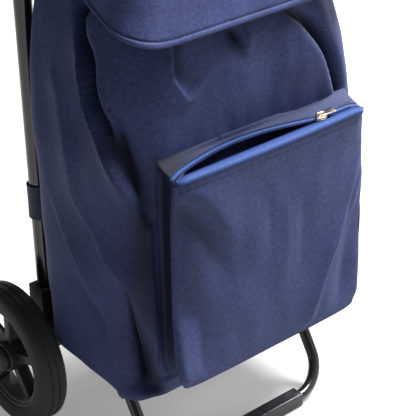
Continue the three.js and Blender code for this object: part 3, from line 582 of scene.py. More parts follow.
# %% Sewing a skin into a mesh
def select_only(*pieces):
    """Selects these pieces and nothing else, and makes the first one active."""
    bpy.ops.object.select_all(action="DESELECT")
    for piece in pieces:
        piece.select_set(True)
    if pieces:
        bpy.context.view_layer.objects.active = pieces[0]


def linked(name, mesh):
    """A new object for a mesh, in the scene."""
    piece = bpy.data.objects.new(name, mesh)
    scene.collection.objects.link(piece)
    return piece


def sewn(name, skin, wall, material, cap=()):
    """Makes a skin a mesh with its thickness, and maps it in metres as it was cut."""
    points = skin.points()
    rows, columns = points.shape[:2]
    closing = np.linalg.norm(skin.net[:, :1] - skin.net[:, -1:], axis=2)
    around = np.concatenate([skin.round, skin.round[:, -1:] + closing], 1)
    height = np.concatenate([skin.up, skin.up[:, :1]], 1)
    verts = [at(*p) for p in points.reshape(-1, 3)]
    faces, flat = [], []
    for i in range(rows - 1):
        for j in range(columns if skin.closed else columns - 1):
            k = (j + 1) % columns
            here, above = i * columns, (i + 1) * columns
            faces.append((here + j, here + k, above + k, above + j))
            corners = ((i, j), (i, j + 1), (i + 1, j + 1), (i + 1, j))
            flat += [(around[c] * MM, height[c] * MM) for c in corners]
    for row in cap:  # an end is closed by rings that shrink to its middle
        ring = list(range(row % rows * columns, row % rows * columns + columns))
        middle = np.array([points[row].max(0) + points[row].min(0)]) / 2
        for share in (0.93, 0.8, 0.6, 0.35, 0.12, 0):
            inner = points[row] * share + middle * (1 - share)
            if not share:
                inner = middle
            first = len(verts)
            verts += [at(*p) for p in inner]
            following = list(range(first, len(verts))) * (1 if share else columns)
            for j in range(columns):
                k = (j + 1) % columns
                corners = [ring[k], ring[j], following[j], following[k]]
                if row == -1:
                    corners.reverse()
                faces.append(tuple(dict.fromkeys(corners)))
                flat += [(verts[c].x, verts[c].y) for c in faces[-1]]
            ring = following
    mesh = bpy.data.meshes.new(name)
    mesh.from_pydata(verts, [], faces)
    mesh.uv_layers.new(name="cloth").data.foreach_set("uv", np.array(flat).ravel())
    hollow = mesh.attributes.new("hollow", "FLOAT", "POINT")
    marks = skin.hollow.ravel()
    hollow.data.foreach_set("value", np.pad(marks, (0, len(verts) - len(marks))))
    mesh.materials.append(material)
    piece = linked(name, mesh)
    mesh.polygons.foreach_set("use_smooth", [True] * len(faces))
    if wall:
        apply(piece, "SOLIDIFY", thickness=wall * MM, offset=-1)
    return piece


def apply(piece, kind, **settings):
    """Adds a modifier with its settings and applies it."""
    select_only(piece)
    modifier = piece.modifiers.new(kind.lower(), kind)
    for key, value in settings.items():
        setattr(modifier, key, value)
    bpy.ops.object.modifier_apply(modifier=modifier.name)


def placed(piece, body_name, slot, *nodes):
    """Rides a finished piece on its body, hides the CAD nodes that it stands for, and prints its
    triangles. Its slot is not used.
    """
    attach(piece, body_name)
    if nodes:
        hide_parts(*nodes)
    faces = sum(len(p.vertices) - 2 for p in piece.data.polygons)
    print(f"{piece.name}: {faces} triangles")
    return piece


bag_skin = placed(sewn("bag_skin", body, 2, polyester, cap=(0,)), "frame", "bag_fabric", "bag_body")

# %% [markdown]
# ## Flap
# The flap is one panel with rounded front corners, sewn to the back hem. Its edge is turned under
# and stitched 6 mm in, which leaves a flat, slightly thicker band and a row of small dimples. It is
# stiffer than the body and stands off it at the corners, so it only sags a little between them.

# %% The flap's skin
FLAP_SECTIONS = [  # share of the way up, then half width, front, back and corner radii
    (0, 152, -15, 190, 31, 15), (1, 149, 1, 190, 48, 15), (2, 139, 25, 190, 58, 15),
    (3, 117, 56, 182, 46, 15), (4, 70, 88, 150, 25, 15),
]
FLAP_COUNTS = (16, 6, 44, 26, 46)
flap_steps = np.concatenate([np.linspace(0, 0.16, 12), np.linspace(0.2, 4, 44)])
flap_sizes = np.array([
    np.interp(flap_steps, range(5), column) for column in np.array(FLAP_SECTIONS, float).T[1:]
]).T
flap_sizes = np.array([
    np.average(flap_sizes, axis=0, weights=bump(flap_steps, s, 0.22) + 1e-9)
    if 0.5 < s < 3.7 else row for s, row in zip(flap_steps, flap_sizes)
])
climb = np.interp(flap_steps, [0, 0.9, 1.6, 2.2, 3, 4], [0, 0.46, 0.8, 0.96, 1, 1])
hem_height = extent("flap")[1].z - 26
FRONT_DROP = 120  # how far the flap's front edge hangs below its hem at the back
HEM_STITCH = 6.2  # how far in from the edge it is stitched


def flap_height(share, x, y):
    edge = hem_height - FRONT_DROP + FRONT_DROP * np.clip((y + 15) / 133, 0, 1) ** 2
    edge += 11 * np.clip((abs(x) - 98) / 54, 0, 1) ** 2 * (1 - fade(y, 20, 90))
    roof = hem_height + 3 + 23 * (1 - fade(y, 104.5, 190))
    return edge + (roof - edge) * share


flap_net = [
    [(x, y, flap_height(share, x, y)) for x, y in section(*sizes, FLAP_COUNTS)]
    for share, sizes in zip(climb, flap_sizes)
]
flap = Skin(flap_net)
x, y, z = np.moveaxis(flap.net, 2, 0)
from_edge = flap.up
flap.lift += slack(flap.net, 70, 11.0) * 2.4 * fade(from_edge, 0, 30) * fade(-y, -180, -120)
flap.lift += slack(flap.net, 26, 17.0) * 0.9 * fade(-y, -180, -120)
flap.lift -= 0.9 * bump(from_edge, HEM_STITCH, 0.9)  # the stitched groove
flap.lift += 0.5 * fade(-from_edge, -5.6, -4.6) * fade(from_edge, 0.0, 1.0)
flap.lift -= 0.8 * fade(-from_edge, -1.2, 0.0)  # the rolled edge
at_hinge = fade(y, 168, 182)
flap.lift *= 1 - at_hinge
flap_skin = placed(
    sewn("flap_skin", flap, 2.5, polyester, cap=(-1,)), "flap", "bag_fabric", "flap"
)


# %% [markdown]
# ## Stitching
# Seams are lockstitched in bonded nylon, about 3 mm to a stitch. One stitch is a small lozenge that
# dips into the cloth at both ends. A row repeats it along a line on the skin, and all rows of a
# piece are one mesh that moves with it.

# %% Rows of stitches
def stitch_row(line, outward, length=2.9, gap=1.5, radius=0.42):
    """Stitches along a line of points in millimetres, each lying on the cloth."""
    line, outward = np.array(line, float), np.array(outward, float)
    run = np.concatenate([[0], np.cumsum(np.linalg.norm(np.diff(line, axis=0), axis=1))])
    verts, faces = [], []
    for start in np.arange(gap, run[-1] - length, length + gap):
        ends = [
            np.array([np.interp(s, run, line[:, k]) for k in range(3)])
            for s in (start, start + length)
        ]
        up = np.array([np.interp(start, run, outward[:, k]) for k in range(3)])
        up /= np.linalg.norm(up)
        way = ends[1] - ends[0]
        across = np.cross(up, way / np.linalg.norm(way)) * radius
        first = len(verts)
        verts.append(at(*(ends[0] - up * 0.25)))
        for share in (0.25, 0.75):
            middle = ends[0] + way * share + up * 0.1
            sides = (across, up * radius, -across, -up * radius)
            verts += [at(*(middle + side)) for side in sides]
        verts.append(at(*(ends[1] - up * 0.25)))
        for k in range(4):
            a, b = first + 1 + k, first + 1 + (k + 1) % 4
            faces += [(first, b, a), (a, b, b + 4, a + 4), (a + 4, b + 4, first + 9)]
    return verts, faces


def stitched(name, rows, body_name, slot="bag_fabric"):
    """All rows of stitches on one piece, as one mesh."""
    verts, faces = [], []
    for row in rows:
        more, shapes = stitch_row(*row)
        faces += [tuple(v + len(verts) for v in shape) for shape in shapes]
        verts += more
    mesh = bpy.data.meshes.new(name)
    mesh.from_pydata(verts, [], faces)
    mesh.materials.append(thread)
    piece = linked(name, mesh)
    start_editing(piece)
    bpy.ops.mesh.select_all(action="SELECT")
    bpy.ops.mesh.normals_make_consistent(inside=False)
    bpy.ops.object.mode_set(mode="OBJECT")
    return placed(piece, body_name, slot)


def start_editing(piece):
    """Selects one piece alone and opens it in edit mode."""
    select_only(piece)
    bpy.ops.object.mode_set(mode="EDIT")


def along_skin(skin, row, columns):
    """A line on a skin, by its row and its columns, with the way outwards."""
    return skin.points()[row, columns], skin.outward[row, columns]


hem_row = int(np.abs(flap.up[:, flap.columns // 2] - HEM_STITCH).argmin())
hem_columns = np.arange(26, flap.columns - 25)
flap_stitches = stitched("flap_hem_stitches", [along_skin(flap, hem_row, hem_columns)], "flap")

# %% [markdown]
# ## Front pocket
# The pocket is a flat bag on the bag: a front panel, a gusset that is folded in like a bellows at
# each side, and a back that is sewn to the body. Its mouth holds it open at the top and the stuff
# in it at the foot, and between them the left edge falls in by a third of its depth. A long crease
# runs across the panel from its right edge, and soft folds hang below the mouth.

# %% The pocket's skin
HALF = extent("front_pocket")[1].x
pocket_levels = np.concatenate([
    [138, 138.8, 140.5], np.linspace(143, 360, 68), [363, 366, 368.5, 370]
])
left_depth = np.interp(pocket_levels, [138, 150, 180, 214, 280, 330, 352, 370],
                       [31, 33, 27, 21.5, 22, 22.5, 25, 29])
right_depth = np.interp(pocket_levels, [138, 150, 222, 300, 345, 370], [31, 33, 29, 27, 27, 28])
left_half = np.interp(pocket_levels, [138, 150, 165, 300, 370], [116, 118.5, 121, 121, 121])
right_half = np.interp(pocket_levels, [138, 150, 220, 300, 340, 370],
                       [118.5, 123, 125.5, 125.5, 124, 123])


def lip(x):
    """How far in front of the bag the mouth's edge stands: it bows, and turns in at its ends."""
    share = np.clip(np.abs(x) / HALF, 0, 1)
    return 35 + 2.6 * (1 - share**2) - 6.5 * np.clip((share - 0.9) / 0.1, 0, 1) ** 2


def droop(x):
    """How far the mouth's corners hang below its middle."""
    return -4.5 * np.clip((np.abs(x) - 102) / 19, 0, 1) ** 2


def bellows(half, depth):
    """One gusset in plan, from the body to the front edge, with its two folds."""
    corners = [(half - 3, 0.6), (half - 17, 0.24 * depth), (half - 13, 0.44 * depth),
               (half - 19, 0.64 * depth), (half - 4.0, 0.86 * depth), (half - 0.4, 0.95 * depth)]
    return eased_line(np.array(corners, float), 3)


def pocket_section(z, left, right, left_at, right_at):
    near_mouth = fade(z, 330, 368)
    rows = [(x, -0.6) for x in -np.linspace(0, left_at - 4, 10)[:-1]]
    rows += [(-px, -py) for px, py in bellows(left_at, left)]
    for t in np.linspace(0, 1, 80)[1:-1]:
        px = -left_at + (left_at + right_at) * t
        near = left if px < 0 else right
        share = abs(px) / (left_at if px < 0 else right_at)
        full = 35.5 - 2.0 * (1 - fade(z, 138, 152))
        round_corner = full - (full - near) * share**5
        to_lip = (lip(px) - 0.6 - round_corner) * near_mouth * (1 - share**9)
        rows.append((px, -(round_corner + to_lip)))
    rows += [(px, -py) for px, py in bellows(right_at, right)[::-1]]
    rows += [(x, -0.6) for x in np.linspace(right_at - 4, 0, 10)[:-1]]
    return rows


pocket_net = np.array([
    [(x, y, z) for x, y in pocket_section(z, left, right, left_at, right_at)]
    for z, left, right, left_at, right_at
    in zip(pocket_levels, left_depth, right_depth, left_half, right_half)
])
corner_rise = np.clip((np.abs(pocket_net[:, :, 0]) - 96) / 27, 0, 1) ** 3
corner_rise *= np.where(pocket_net[:, :, 0] > 0, 7, 5)
pocket_net[:, :, 2] += corner_rise * (1 - fade(pocket_net[:, :, 2], 138, 190))
x, y, z = np.moveaxis(pocket_net, 2, 0)
pocket_net[:, :, 2] += droop(x) * fade(z, 335, 368) * fade(-y, 4, 20)
pocket = Skin(pocket_net)
MOUTH_STITCH = 359.5  # the height of the stitches under the mouth
POCKET_FOLDS = [
    # the long crease and the short one beside it, and the hollow behind them
    ([(119, -30, 318, 1), (111, -34, 298, 2.5), (101, -35, 273, 3.5), (88, -35, 245, 5.5),
      (72, -35, 213, 6.5), (60, -35, 182, 6), (49, -35, 150, 2.5)], 12, 4),
    ([(120, -30, 296, 1), (115, -33, 282, 2.2), (106, -35, 262, 2), (98, -35, 246, 0)], 3, 5),
    ([(112, -34, 250, -1), (104, -35, 220, -3), (98, -35, 185, -4), (96, -35, 158, -2)], 14, 14),
    # the roll of the left edge at the foot
    ([(-120, -24, 218, 0), (-119, -26, 204, 5), (-118, -30, 176, 6), (-116, -31, 148, 4)], 5, 13),
    ([(-112, -30, 226, -2), (-98, -34, 212, -3), (-92, -35, 184, -4), (-90, -35, 152, -3)], 9, 18),
    # the hollow that falls from the mouth's left corner, and the fullness over it
    ([(-119, -26, 348, -1), (-112, -30, 332, -4), (-97, -34, 312, -5.5), (-80, -35, 288, -4.5),
      (-66, -35, 258, -2.5), (-56, -35, 228, 0)], 15, 10),
    ([(-104, -33, 358, 3), (-84, -35, 336, 4.5), (-64, -35, 308, 3), (-50, -35, 280, 0)], 8, 20),
    # soft folds that hang below the mouth
    ([(-12, -36, 330, 0), (-10, -36, 300, -1.6), (-8, -36, 265, -1.4), (-8, -36, 230, 0)], 7, 9),
    ([(10, -36, 318, 0), (12, -36, 290, 1.6), (12, -36, 250, 1.6), (10, -36, 205, 0)], 8, 9),
    ([(34, -36, 312, 0), (36, -36, 280, -1.5), (34, -36, 240, -1.4), (30, -36, 205, 0)], 9, 9),
]
for line, left, right in POCKET_FOLDS:
    pocket.fold(line, left, right)
x, y, z = np.moveaxis(pocket.net, 2, 0)
pocket.lift += slack(pocket.net * (1, 1, 0.45), 24, 23.0) * 1.3 + slack(pocket.net, 55, 29.0) * 1.6
on_front = fade(-y, 19, 27)
pocket.mark_hollows(4, 9)
# painted shade: the colour darkens in the hollows of the front, below the mouth's left corner and
# beside its left edge, and nearly to black in the gusset's folds
in_gusset = fade(np.abs(x), 96, 118) * (1 - fade(-y, 13, 20)) * fade(-y, 0.2, 1.5)
pocket.darken([(-120, -24, 348, 0.3), (-108, -31, 331, 0.5), (-92, -34, 311, 0.55),
               (-82, -35, 290, 0.4), (-78, -35, 262, 0.1)], 9, 8)
pocket.darken([(-112, -30, 322, 0.25), (-108, -31, 285, 0.36), (-107, -31, 240, 0.3)], 12, 24)
pocket.hollow = np.maximum(pocket.hollow * on_front, 0.95 * in_gusset)
hem_line = bump(z, MOUTH_STITCH, 0.9)
pocket.lift = (pocket.lift * fade(z, 139, 150) * fade(-z, -366, -340) - 0.8 * hem_line) * on_front
placed(
    sewn("pocket_skin", pocket, 1.6, polyester, cap=(0,)), "frame", "bag_fabric", "front_pocket"
)

# %% [markdown]
# ## Zip
# The zip is a nylon coil on a royal blue knitted tape. The front tape is rolled over the mouth's
# hem, so a narrow band of it shows in front. The back tape stays straight beside the closed teeth
# and bows away where the zip is open. Behind it a strip of polyester runs back to the bag.

# %% The zip's tapes
zip_high = extent("zip_tape_front")[1]
slider_low, slider_high = extent("zip_slider")
TAPE_TOP, TOOTH_LINE = zip_high.z, zip_high.y
slider_middle = (slider_low.x + slider_high.x) / 2


def back_edge(x):
    """Where the back tape's toothed edge runs."""
    share = np.clip((x + 116) / (slider_middle + 116), 0, 1)
    return TOOTH_LINE + 4 + 17 * np.sin(np.pi * share)


stations = np.linspace(-HALF + 1.5, HALF, 90)


def band(name, profile, material, wall, slot, *nodes, shaded=0.0):
    """A strip along the mouth, from a function that gives its profile at each station."""
    skin = Skin([[profile(x)[k] for x in stations] for k in range(len(profile(0)))], closed=False)
    skin.hollow += shaded
    return placed(sewn(name, skin, wall, material), "frame", slot, *nodes)


def front_profile(x):
    edge = -lip(x)
    shape = [(edge + 1.0, 367.4), (edge - 0.1, 367.9), (edge - 0.5, 368.8), (edge - 0.3, 369.9),
             (edge + 0.4, 371.0), (edge + 1.6, 371.9), (edge + 3.4, 372.4), (TOOTH_LINE - 0.8, 372.3),
             (TOOTH_LINE - 0.1, 371.7)]
    return [(x, y, z + droop(x) - 0.25 * (TAPE_TOP - 372.3)) for y, z in shape]


def back_profile(x):
    y = back_edge(x)
    reach = min(y + 7.0, -1.2)
    shape = [(y + 0.1, 371.7), (y + 0.6, 372.3), ((y + reach) / 2, 372.6), (reach, 372.4)]
    return [(x, y, z + droop(x)) for y, z in shape]


def strip_profile(x):
    start = min(back_edge(x) + 4.2, -2.6)
    shape = [(start, 372.9), (start * 0.97 + 0.1, 373.7), (start * 0.8, 374.0), (start * 0.5, 375.2),
             (start * 0.25, 377.0), (-0.9, 380.0)]
    return [(x, y, z + droop(x) * y / start) for y, z in shape]


band("zip_tape_front_roll", front_profile, zip_tape, 0.9, "zip_tape", "zip_tape_front")
band("zip_tape_back_edge", back_profile, zip_tape, 0.9, "zip_tape", "zip_tape_back")
band("mouth_strip", strip_profile, polyester, 0.8, "bag_fabric",
     shaded=0.97 - 0.5 * fade(stations, -112, -50))

# %% The coil's teeth
def coil(name, edge, phase, node):
    """A row of small rounded teeth, modelled once and repeated along the tape's edge."""
    select_only()
    bpy.ops.mesh.primitive_cube_add(size=1, enter_editmode=True)
    bpy.ops.transform.resize(value=(1.1 * MM, 1.75 * MM, 1.3 * MM))
    bpy.ops.mesh.bevel(offset=0.3 * MM, segments=1, affect="EDGES")
    bpy.ops.object.mode_set(mode="OBJECT")
    row = bpy.context.object
    row.name = name
    tooth = np.array([v.co for v in row.data.vertices])
    shapes = [tuple(p.vertices) for p in row.data.polygons]
    verts, faces = [], []
    for x in np.arange(-118.8 + phase, 120.6, 2.2):
        slope = math.atan2(edge(x + 0.5) - edge(x - 0.5), 1.0)
        turned_tooth = tooth @ np.array(Matrix.Rotation(slope, 3, "Z")).T
        faces += [tuple(v + len(verts) for v in shape) for shape in shapes]
        verts += [Vector(p) + at(x, edge(x), 371.35 + droop(x)) for p in turned_tooth]
    row.data.clear_geometry()
    row.data.from_pydata(verts, [], faces)
    row.data.materials.append(coil_nylon)
    return placed(row, "frame", "zip_teeth", node)


coil("coil_front", lambda x: TOOTH_LINE + 1.05, 0.0, "zip_teeth_front")
coil("coil_back", lambda x: back_edge(x) - 1.05, 1.1, "zip_teeth_back")

# %% Stitches on the pocket and the mouth
front_columns = np.arange(28, pocket.columns - 27)
hem = int(np.abs(pocket_levels - MOUTH_STITCH).argmin())
up_way = lambda points: [(0, 0, 1)] * len(points)
tack_x, tack_z = (-117.5, -109.5), (361.5, 369.5)
tack = [(tack_x[0], tack_z[0]), (tack_x[1], tack_z[0]), (tack_x[1], tack_z[1]),
        (tack_x[0], tack_z[1]), (tack_x[0], tack_z[0]), (tack_x[1], tack_z[1])]
tack_line = [(x, -lip(x) - 0.7, z + droop(x)) for x, z in tack]
strip_line = [(x, min(back_edge(x) + 6.0, -2.0), 373.95) for x in stations[2:-2]]
stitched("pocket_stitches", [
    along_skin(pocket, hem, front_columns),
    (tack_line, [(0, -1, 0)] * len(tack_line), 2.0, 0.5),
    (strip_line, up_way(strip_line)),
], "frame")
print("zip and pocket are sewn")

# %% [markdown]
# ## Tubes, turned pieces and mouldings
# A tube is made as the bender makes it: a ring of edges is pushed along each straight run and spun
# round each bend. A turned piece is a ring that is pushed along its axis and scaled at each corner
# of its profile. A moulding that has holes and pockets from many cuts takes its form from the
# engineering model: a copy is merged, its flat faces are joined, and its edges get the radius that
# a mould gives. Each is closed where it was left open, and its faces are turned outwards.

# %% How hard pieces are made
SMOOTH_BELOW = 38  # degrees between faces


def settle(name, material):
    """Leaves edit mode with a clean, closed mesh whose place is in its points."""
    bpy.ops.mesh.select_all(action="SELECT")
    bpy.ops.mesh.remove_doubles(threshold=0.01 * MM)
    bpy.ops.mesh.fill_holes(sides=0)
    bpy.ops.mesh.select_all(action="SELECT")
    bpy.ops.mesh.normals_make_consistent(inside=False)
    bpy.ops.object.mode_set(mode="OBJECT")
    piece = bpy.context.object
    piece.name = piece.data.name = name
    bpy.ops.object.transform_apply(location=True, rotation=True, scale=True)
    bpy.ops.object.shade_smooth_by_angle(angle=math.radians(SMOOTH_BELOW))
    piece.data.materials.clear()
    piece.data.materials.append(material)
    return piece


def ring_at(place, way, radius, sides):
    select_only()
    facing = Vector(way).to_track_quat("Z", "Y").to_euler()
    bpy.ops.mesh.primitive_circle_add(
        vertices=sides, radius=radius * MM, location=place, rotation=facing, enter_editmode=True
    )


def push(move):
    bpy.ops.mesh.extrude_region_move(TRANSFORM_OT_translate={"value": move})


def bent_tube(name, corners, radius, bend, material, sides=26):
    """A tube through corners, with round bends, closed at its ends."""
    points = [at(*c) for c in corners]
    here = points[0]
    ring_at(here, points[1] - points[0], radius, sides)
    for before, corner, after in zip(points, points[1:], points[2:]):
        way, onward = (corner - before).normalized(), (after - corner).normalized()
        turn = way.angle(onward)
        start = corner - way * bend * MM * math.tan(turn / 2)
        inward = (onward - way * way.dot(onward)).normalized()
        push(start - here)
        bpy.ops.mesh.spin(
            steps=max(3, round(math.degrees(turn) / 9)), angle=-turn,
            center=start + inward * bend * MM, axis=way.cross(onward).normalized(),
        )
        here = corner + onward * bend * MM * math.tan(turn / 2)
    push(points[-1] - here)
    return settle(name, material)


def turned(name, centre, axis, profile, material, sides=32):
    """A piece of revolution from (radius, distance along the axis) corners."""
    spot, way = at(*centre), Vector(axis)
    ring_at(spot + way * profile[0][1] * MM, way, profile[0][0], sides)
    for (r1, a1), (r2, a2) in zip(profile, profile[1:]):
        push(way * (a2 - a1) * MM)
        if r1 != r2:
            bpy.ops.transform.resize(value=(r2 / r1,) * 3, center_override=spot + way * a2 * MM)
    return settle(name, material)


def tube_wall(radius, start, end, wall=1.2):
    """The profile of a straight tube that is open at both ends."""
    bore = radius - wall
    return [(radius, start), (radius, end), (bore, end), (bore, start), (radius, start)]


def moulded(name, node, edge_mm, material, segments=2):
    """A copy of a CAD node with merged points, joined flat faces and rounded edges."""
    piece = linked(name, frame["nodes"][node].data.copy())
    start_editing(piece)
    bpy.ops.mesh.select_all(action="SELECT")
    bpy.ops.mesh.remove_doubles(threshold=0.002 * MM)
    bpy.ops.mesh.customdata_custom_splitnormals_clear()
    bpy.ops.mesh.dissolve_limited(angle_limit=math.radians(1.5))
    bpy.ops.object.mode_set(mode="OBJECT")
    apply(piece, "BEVEL", width=edge_mm * MM, segments=segments, limit_method="ANGLE",
          angle_limit=math.radians(32), use_clamp_overlap=True)
    start_editing(piece)
    return settle(name, material)


def pick(kind, chosen):
    """Selects the faces, edges or verts of the edited mesh that are chosen."""
    data = bpy.context.object.data
    mesh = bmesh.from_edit_mesh(data)
    for item in getattr(mesh, kind):
        item.select = chosen(item)
    if kind == "verts":
        mesh.select_flush_mode()
    bmesh.update_edit_mesh(data)


SIDES = (("left", -1), ("right", 1))
upright_middle = [(a + b) / 2 for a, b in zip(*extent("right_upright"))]
UPRIGHT_X, UPRIGHT_Y = upright_middle[0], upright_middle[1]
UPRIGHT_TOP = extent("right_upright")[1].z
print("uprights stand at", round(UPRIGHT_X, 1), round(UPRIGHT_Y, 1))

# %% [markdown]
# ### Frame
# The uprights are thin-walled tube, and the handle's legs slide into them inside plastic collars,
# each held by a screw. The grip is a foam sleeve with shallow ribs for the fingers.

# %% Uprights, handle and collars
for side, s in SIDES:
    stand = (s * UPRIGHT_X, UPRIGHT_Y, 0)
    foot_z = extent("right_upright")[0].z
    wall = tube_wall(9.5, foot_z, UPRIGHT_TOP)
    placed(turned(f"{side}_upright_tube", stand, (0, 0, 1), wall, epoxy, 28), "frame",
           "painted_tube", f"{side}_upright")
    low = UPRIGHT_TOP - 26
    collar = [(9.8, low), (12.0, low), (12.5, low + 0.6), (12.5, low + 4), (12.1, low + 4.6),
              (12.1, low + 6), (12.5, low + 6.6), (12.5, low + 26), (12.1, low + 27.8),
              (11.0, low + 29), (8.6, low + 29.3), (8.1, low + 28.9), (8.1, low + 26.3),
              (9.8, low + 26.3), (9.8, low)]
    placed(turned(f"{side}_collar", stand, (0, 0, 1), collar, nylon, 36), "frame",
           "black_plastic", f"{side}_joint_collar")
    head = [(1.9, -6), (1.9, 0.1), (4, 0.1), (4, 0.9), (3.5, 1.7), (2.6, 2.2), (1.1, 2.4),
            (1.0, 1.5), (0.3, 1.4)]
    screw_at = (s * UPRIGHT_X, UPRIGHT_Y + 12.8, UPRIGHT_TOP - 14)
    placed(turned(f"{side}_screw", screw_at, (0, 1, 0), head, zinc, 20), "frame",
           "zinc_steel", f"{side}_collar_screw")

grip_low, grip_high = extent("handle_grip")
GRIP_Y, GRIP_Z = (grip_low.y + grip_high.y) / 2, (grip_low.z + grip_high.z) / 2
handle_foot = extent("handle_tube")[0].z
BEND_Z = 880  # the legs lean back above this height
legs = [(UPRIGHT_X, UPRIGHT_Y, handle_foot), (UPRIGHT_X, UPRIGHT_Y, BEND_Z),
        (UPRIGHT_X, GRIP_Y, GRIP_Z)]
handle_route = legs + [(-x, y, z) for x, y, z in legs[::-1]]
placed(bent_tube("handle_loop", handle_route, 7.8, 45, epoxy, 28), "frame",
       "painted_tube", "handle_tube")
ribs = [(8.1, -65), (13.6, -65), (14.7, -64.2), (15, -62.8), (15, -57)]
for k in range(-8, 9):
    ribs += [(15, k * 6.4 - 2.2), (14.3, k * 6.4 - 1.2), (14.3, k * 6.4 + 1.2), (15, k * 6.4 + 2.2)]
ribs += [(15, 57), (15, 62.8), (14.7, 64.2), (13.6, 65), (8.1, 65), (8.1, -65)]
placed(turned("grip_sleeve", (0, GRIP_Y, GRIP_Z), (1, 0, 0), ribs, grip_foam, 32), "frame",
       "grip_foam", "handle_grip")

# %% Crossbars and platform arms
arm_low, arm_high = extent("right_platform_arm")
ARM_Z = (arm_low.z + arm_high.z) / 2
SIDE_MOULDINGS = [  # piece, node, edge radius in mm, material, slot, steps of the rounding
    ("block", "axle_block", 1.2, nylon, "black_plastic", 3),
    ("bracket", "foot_bracket", 0.5, epoxy, "painted_tube", 2),
    ("clip", "bag_clip", 0.8, nylon, "black_plastic", 2),
    ("eyelet", "neck_eyelet", 0.5, nickel, "slider_metal", 2),
]
for name in ("front_crossbar", "rear_crossbar", "lower_back_crossbar", "upper_back_crossbar"):
    low, high = extent(name)
    middle = (0, (low.y + high.y) / 2, (low.z + high.z) / 2)
    reach = UPRIGHT_X - 6
    bar = [(6, -reach), (6, reach)]
    placed(turned(f"{name}_bar", middle, (1, 0, 0), bar, epoxy, 24), "frame", "painted_tube", name)
    for end, s in zip("lr", (-1, 1)):
        bead_at = high.x - 1.2 if "back" in name else UPRIGHT_X - 8.6
        bead = [(6, -1.6), (6.9, -1.2), (7.3, 0), (7.1, 1.4), (6, 2.2), (6, -1.6)]
        weld_at = (s * bead_at, *middle[1:])
        weld = turned(f"{name}_weld_{end}", weld_at, (s, 0, 0), bead, epoxy, 24)
        placed(weld, "frame", "painted_tube")
for side, s in SIDES:
    start = (s * UPRIGHT_X, 0, ARM_Z)
    wall = tube_wall(8, arm_low.y, arm_high.y)
    placed(turned(f"{side}_arm_tube", start, (0, 1, 0), wall, epoxy, 28), "frame",
           "painted_tube", f"{side}_platform_arm")
    end = arm_low.y
    cap = [(6.4, end + 9), (6.4, end - 0.3), (8, end - 0.3), (7.9, end - 1.4), (7.1, end - 2.6),
           (5, end - 3.1), (0.4, end - 3.2)]
    placed(turned(f"{side}_arm_cap", start, (0, 1, 0), cap, nylon, 28), "frame",
           "black_plastic", f"{side}_arm_plug")
    for part, node, edge_mm, material, slot, segments in SIDE_MOULDINGS:
        piece = moulded(f"{side}_{part}", f"{side}_{node}", edge_mm, material, segments)
        placed(piece, "frame", slot, f"{side}_{node}")
    band_profile = [(10, 235.4), (11.4, 235.2), (12, 235.8), (11.8, 238), (11.6, 255), (11.8, 272),
                    (12, 274.2), (11.4, 274.8), (10, 274.6), (10, 235.4)]
    loop = turned(f"{side}_loop_band", (s * UPRIGHT_X, UPRIGHT_Y, 0), (0, 0, 1), band_profile,
                  webbing, 36)
    placed(loop, "frame", "webbing", f"{side}_lower_loop")
placed(moulded("floor_board", "base_board", 0.6, hardboard), "frame", "base_board", "base_board")
placed(moulded("loop_tape", "closure_loop_tape", 0.4, webbing), "frame", "webbing",
       "closure_loop_tape")
hook_tape = placed(
    moulded("hook_tape", "closure_hook_tape", 0.4, webbing), "flap", "webbing", "closure_hook_tape"
)

# %% [markdown]
# The size is an estimate by hand: the roof with its average drop at the sides and its drop in
# front. The skin itself is wider than this near the front, where its sides hang lowest.

# %% [markdown]
# ### Wheels
# Each wheel is a moulded rim with five I-section spokes, pressed into a foamed tyre with rounded
# shoulders and two grooves. A bush runs on the axle, and a domed cap covers the axle's end.

# %% Wheels and axle
AXLE_Y, AXLE_Z = (0.5 * (a + b) for a, b in list(zip(*extent("axle")))[1:])
TREAD = [(60, 151.5), (62, 150.6), (68, 149.9), (74, 149.7), (77.3, 150.5), (79.3, 152.8),
         (80, 156), (80, 160.0), (78.7, 160.6), (78.7, 162.2), (80, 162.8), (80, 168.2), (78.7, 168.8),
         (78.7, 170.4), (80, 171), (80, 175), (79.3, 178.2), (77.3, 180.5), (74, 181.3),
         (68, 181.1), (62, 180.4), (60, 179.5), (60, 151.5)]
BARREL = [(59.7, 152.5), (59.7, 178.5), (57.6, 178.5), (56.4, 178), (55.6, 176.4), (52.7, 175.6),
          (52.7, 155.4), (55.6, 154.6), (56.4, 153), (57.6, 152.5), (59.7, 152.5)]
HUB = [(8.3, 149.6), (15.6, 149.6), (16.6, 150.4), (17, 152), (17, 178), (16.6, 179.6),
       (15.6, 180.4), (8.3, 180.4), (8.3, 149.6)]


SPOKES, WHEEL_X = 5, 165.5


def spoke(s, k):
    """An I-section spoke: a bar whose two wide faces are set in and pushed towards each other."""
    select_only()
    centre = at(s * WHEEL_X, AXLE_Y, AXLE_Z)
    bpy.ops.mesh.primitive_cube_add(size=1, enter_editmode=True, location=centre)
    bpy.ops.transform.resize(value=(14 * MM, 10 * MM, 39 * MM))
    bpy.ops.transform.translate(value=(0, 0, 34.8 * MM))
    bpy.ops.mesh.bevel(offset=0.8 * MM, segments=2, affect="EDGES")
    pick("faces", lambda face: abs(face.normal.y) > 0.99 and face.calc_area() > 1e-4)
    bpy.ops.mesh.inset(thickness=2.4 * MM, depth=-2.6 * MM)
    bpy.ops.mesh.select_all(action="SELECT")
    turn = -k * 2 * math.pi / SPOKES
    bpy.ops.transform.rotate(value=turn, orient_axis="X", center_override=centre)
    return settle("spoke", nylon)


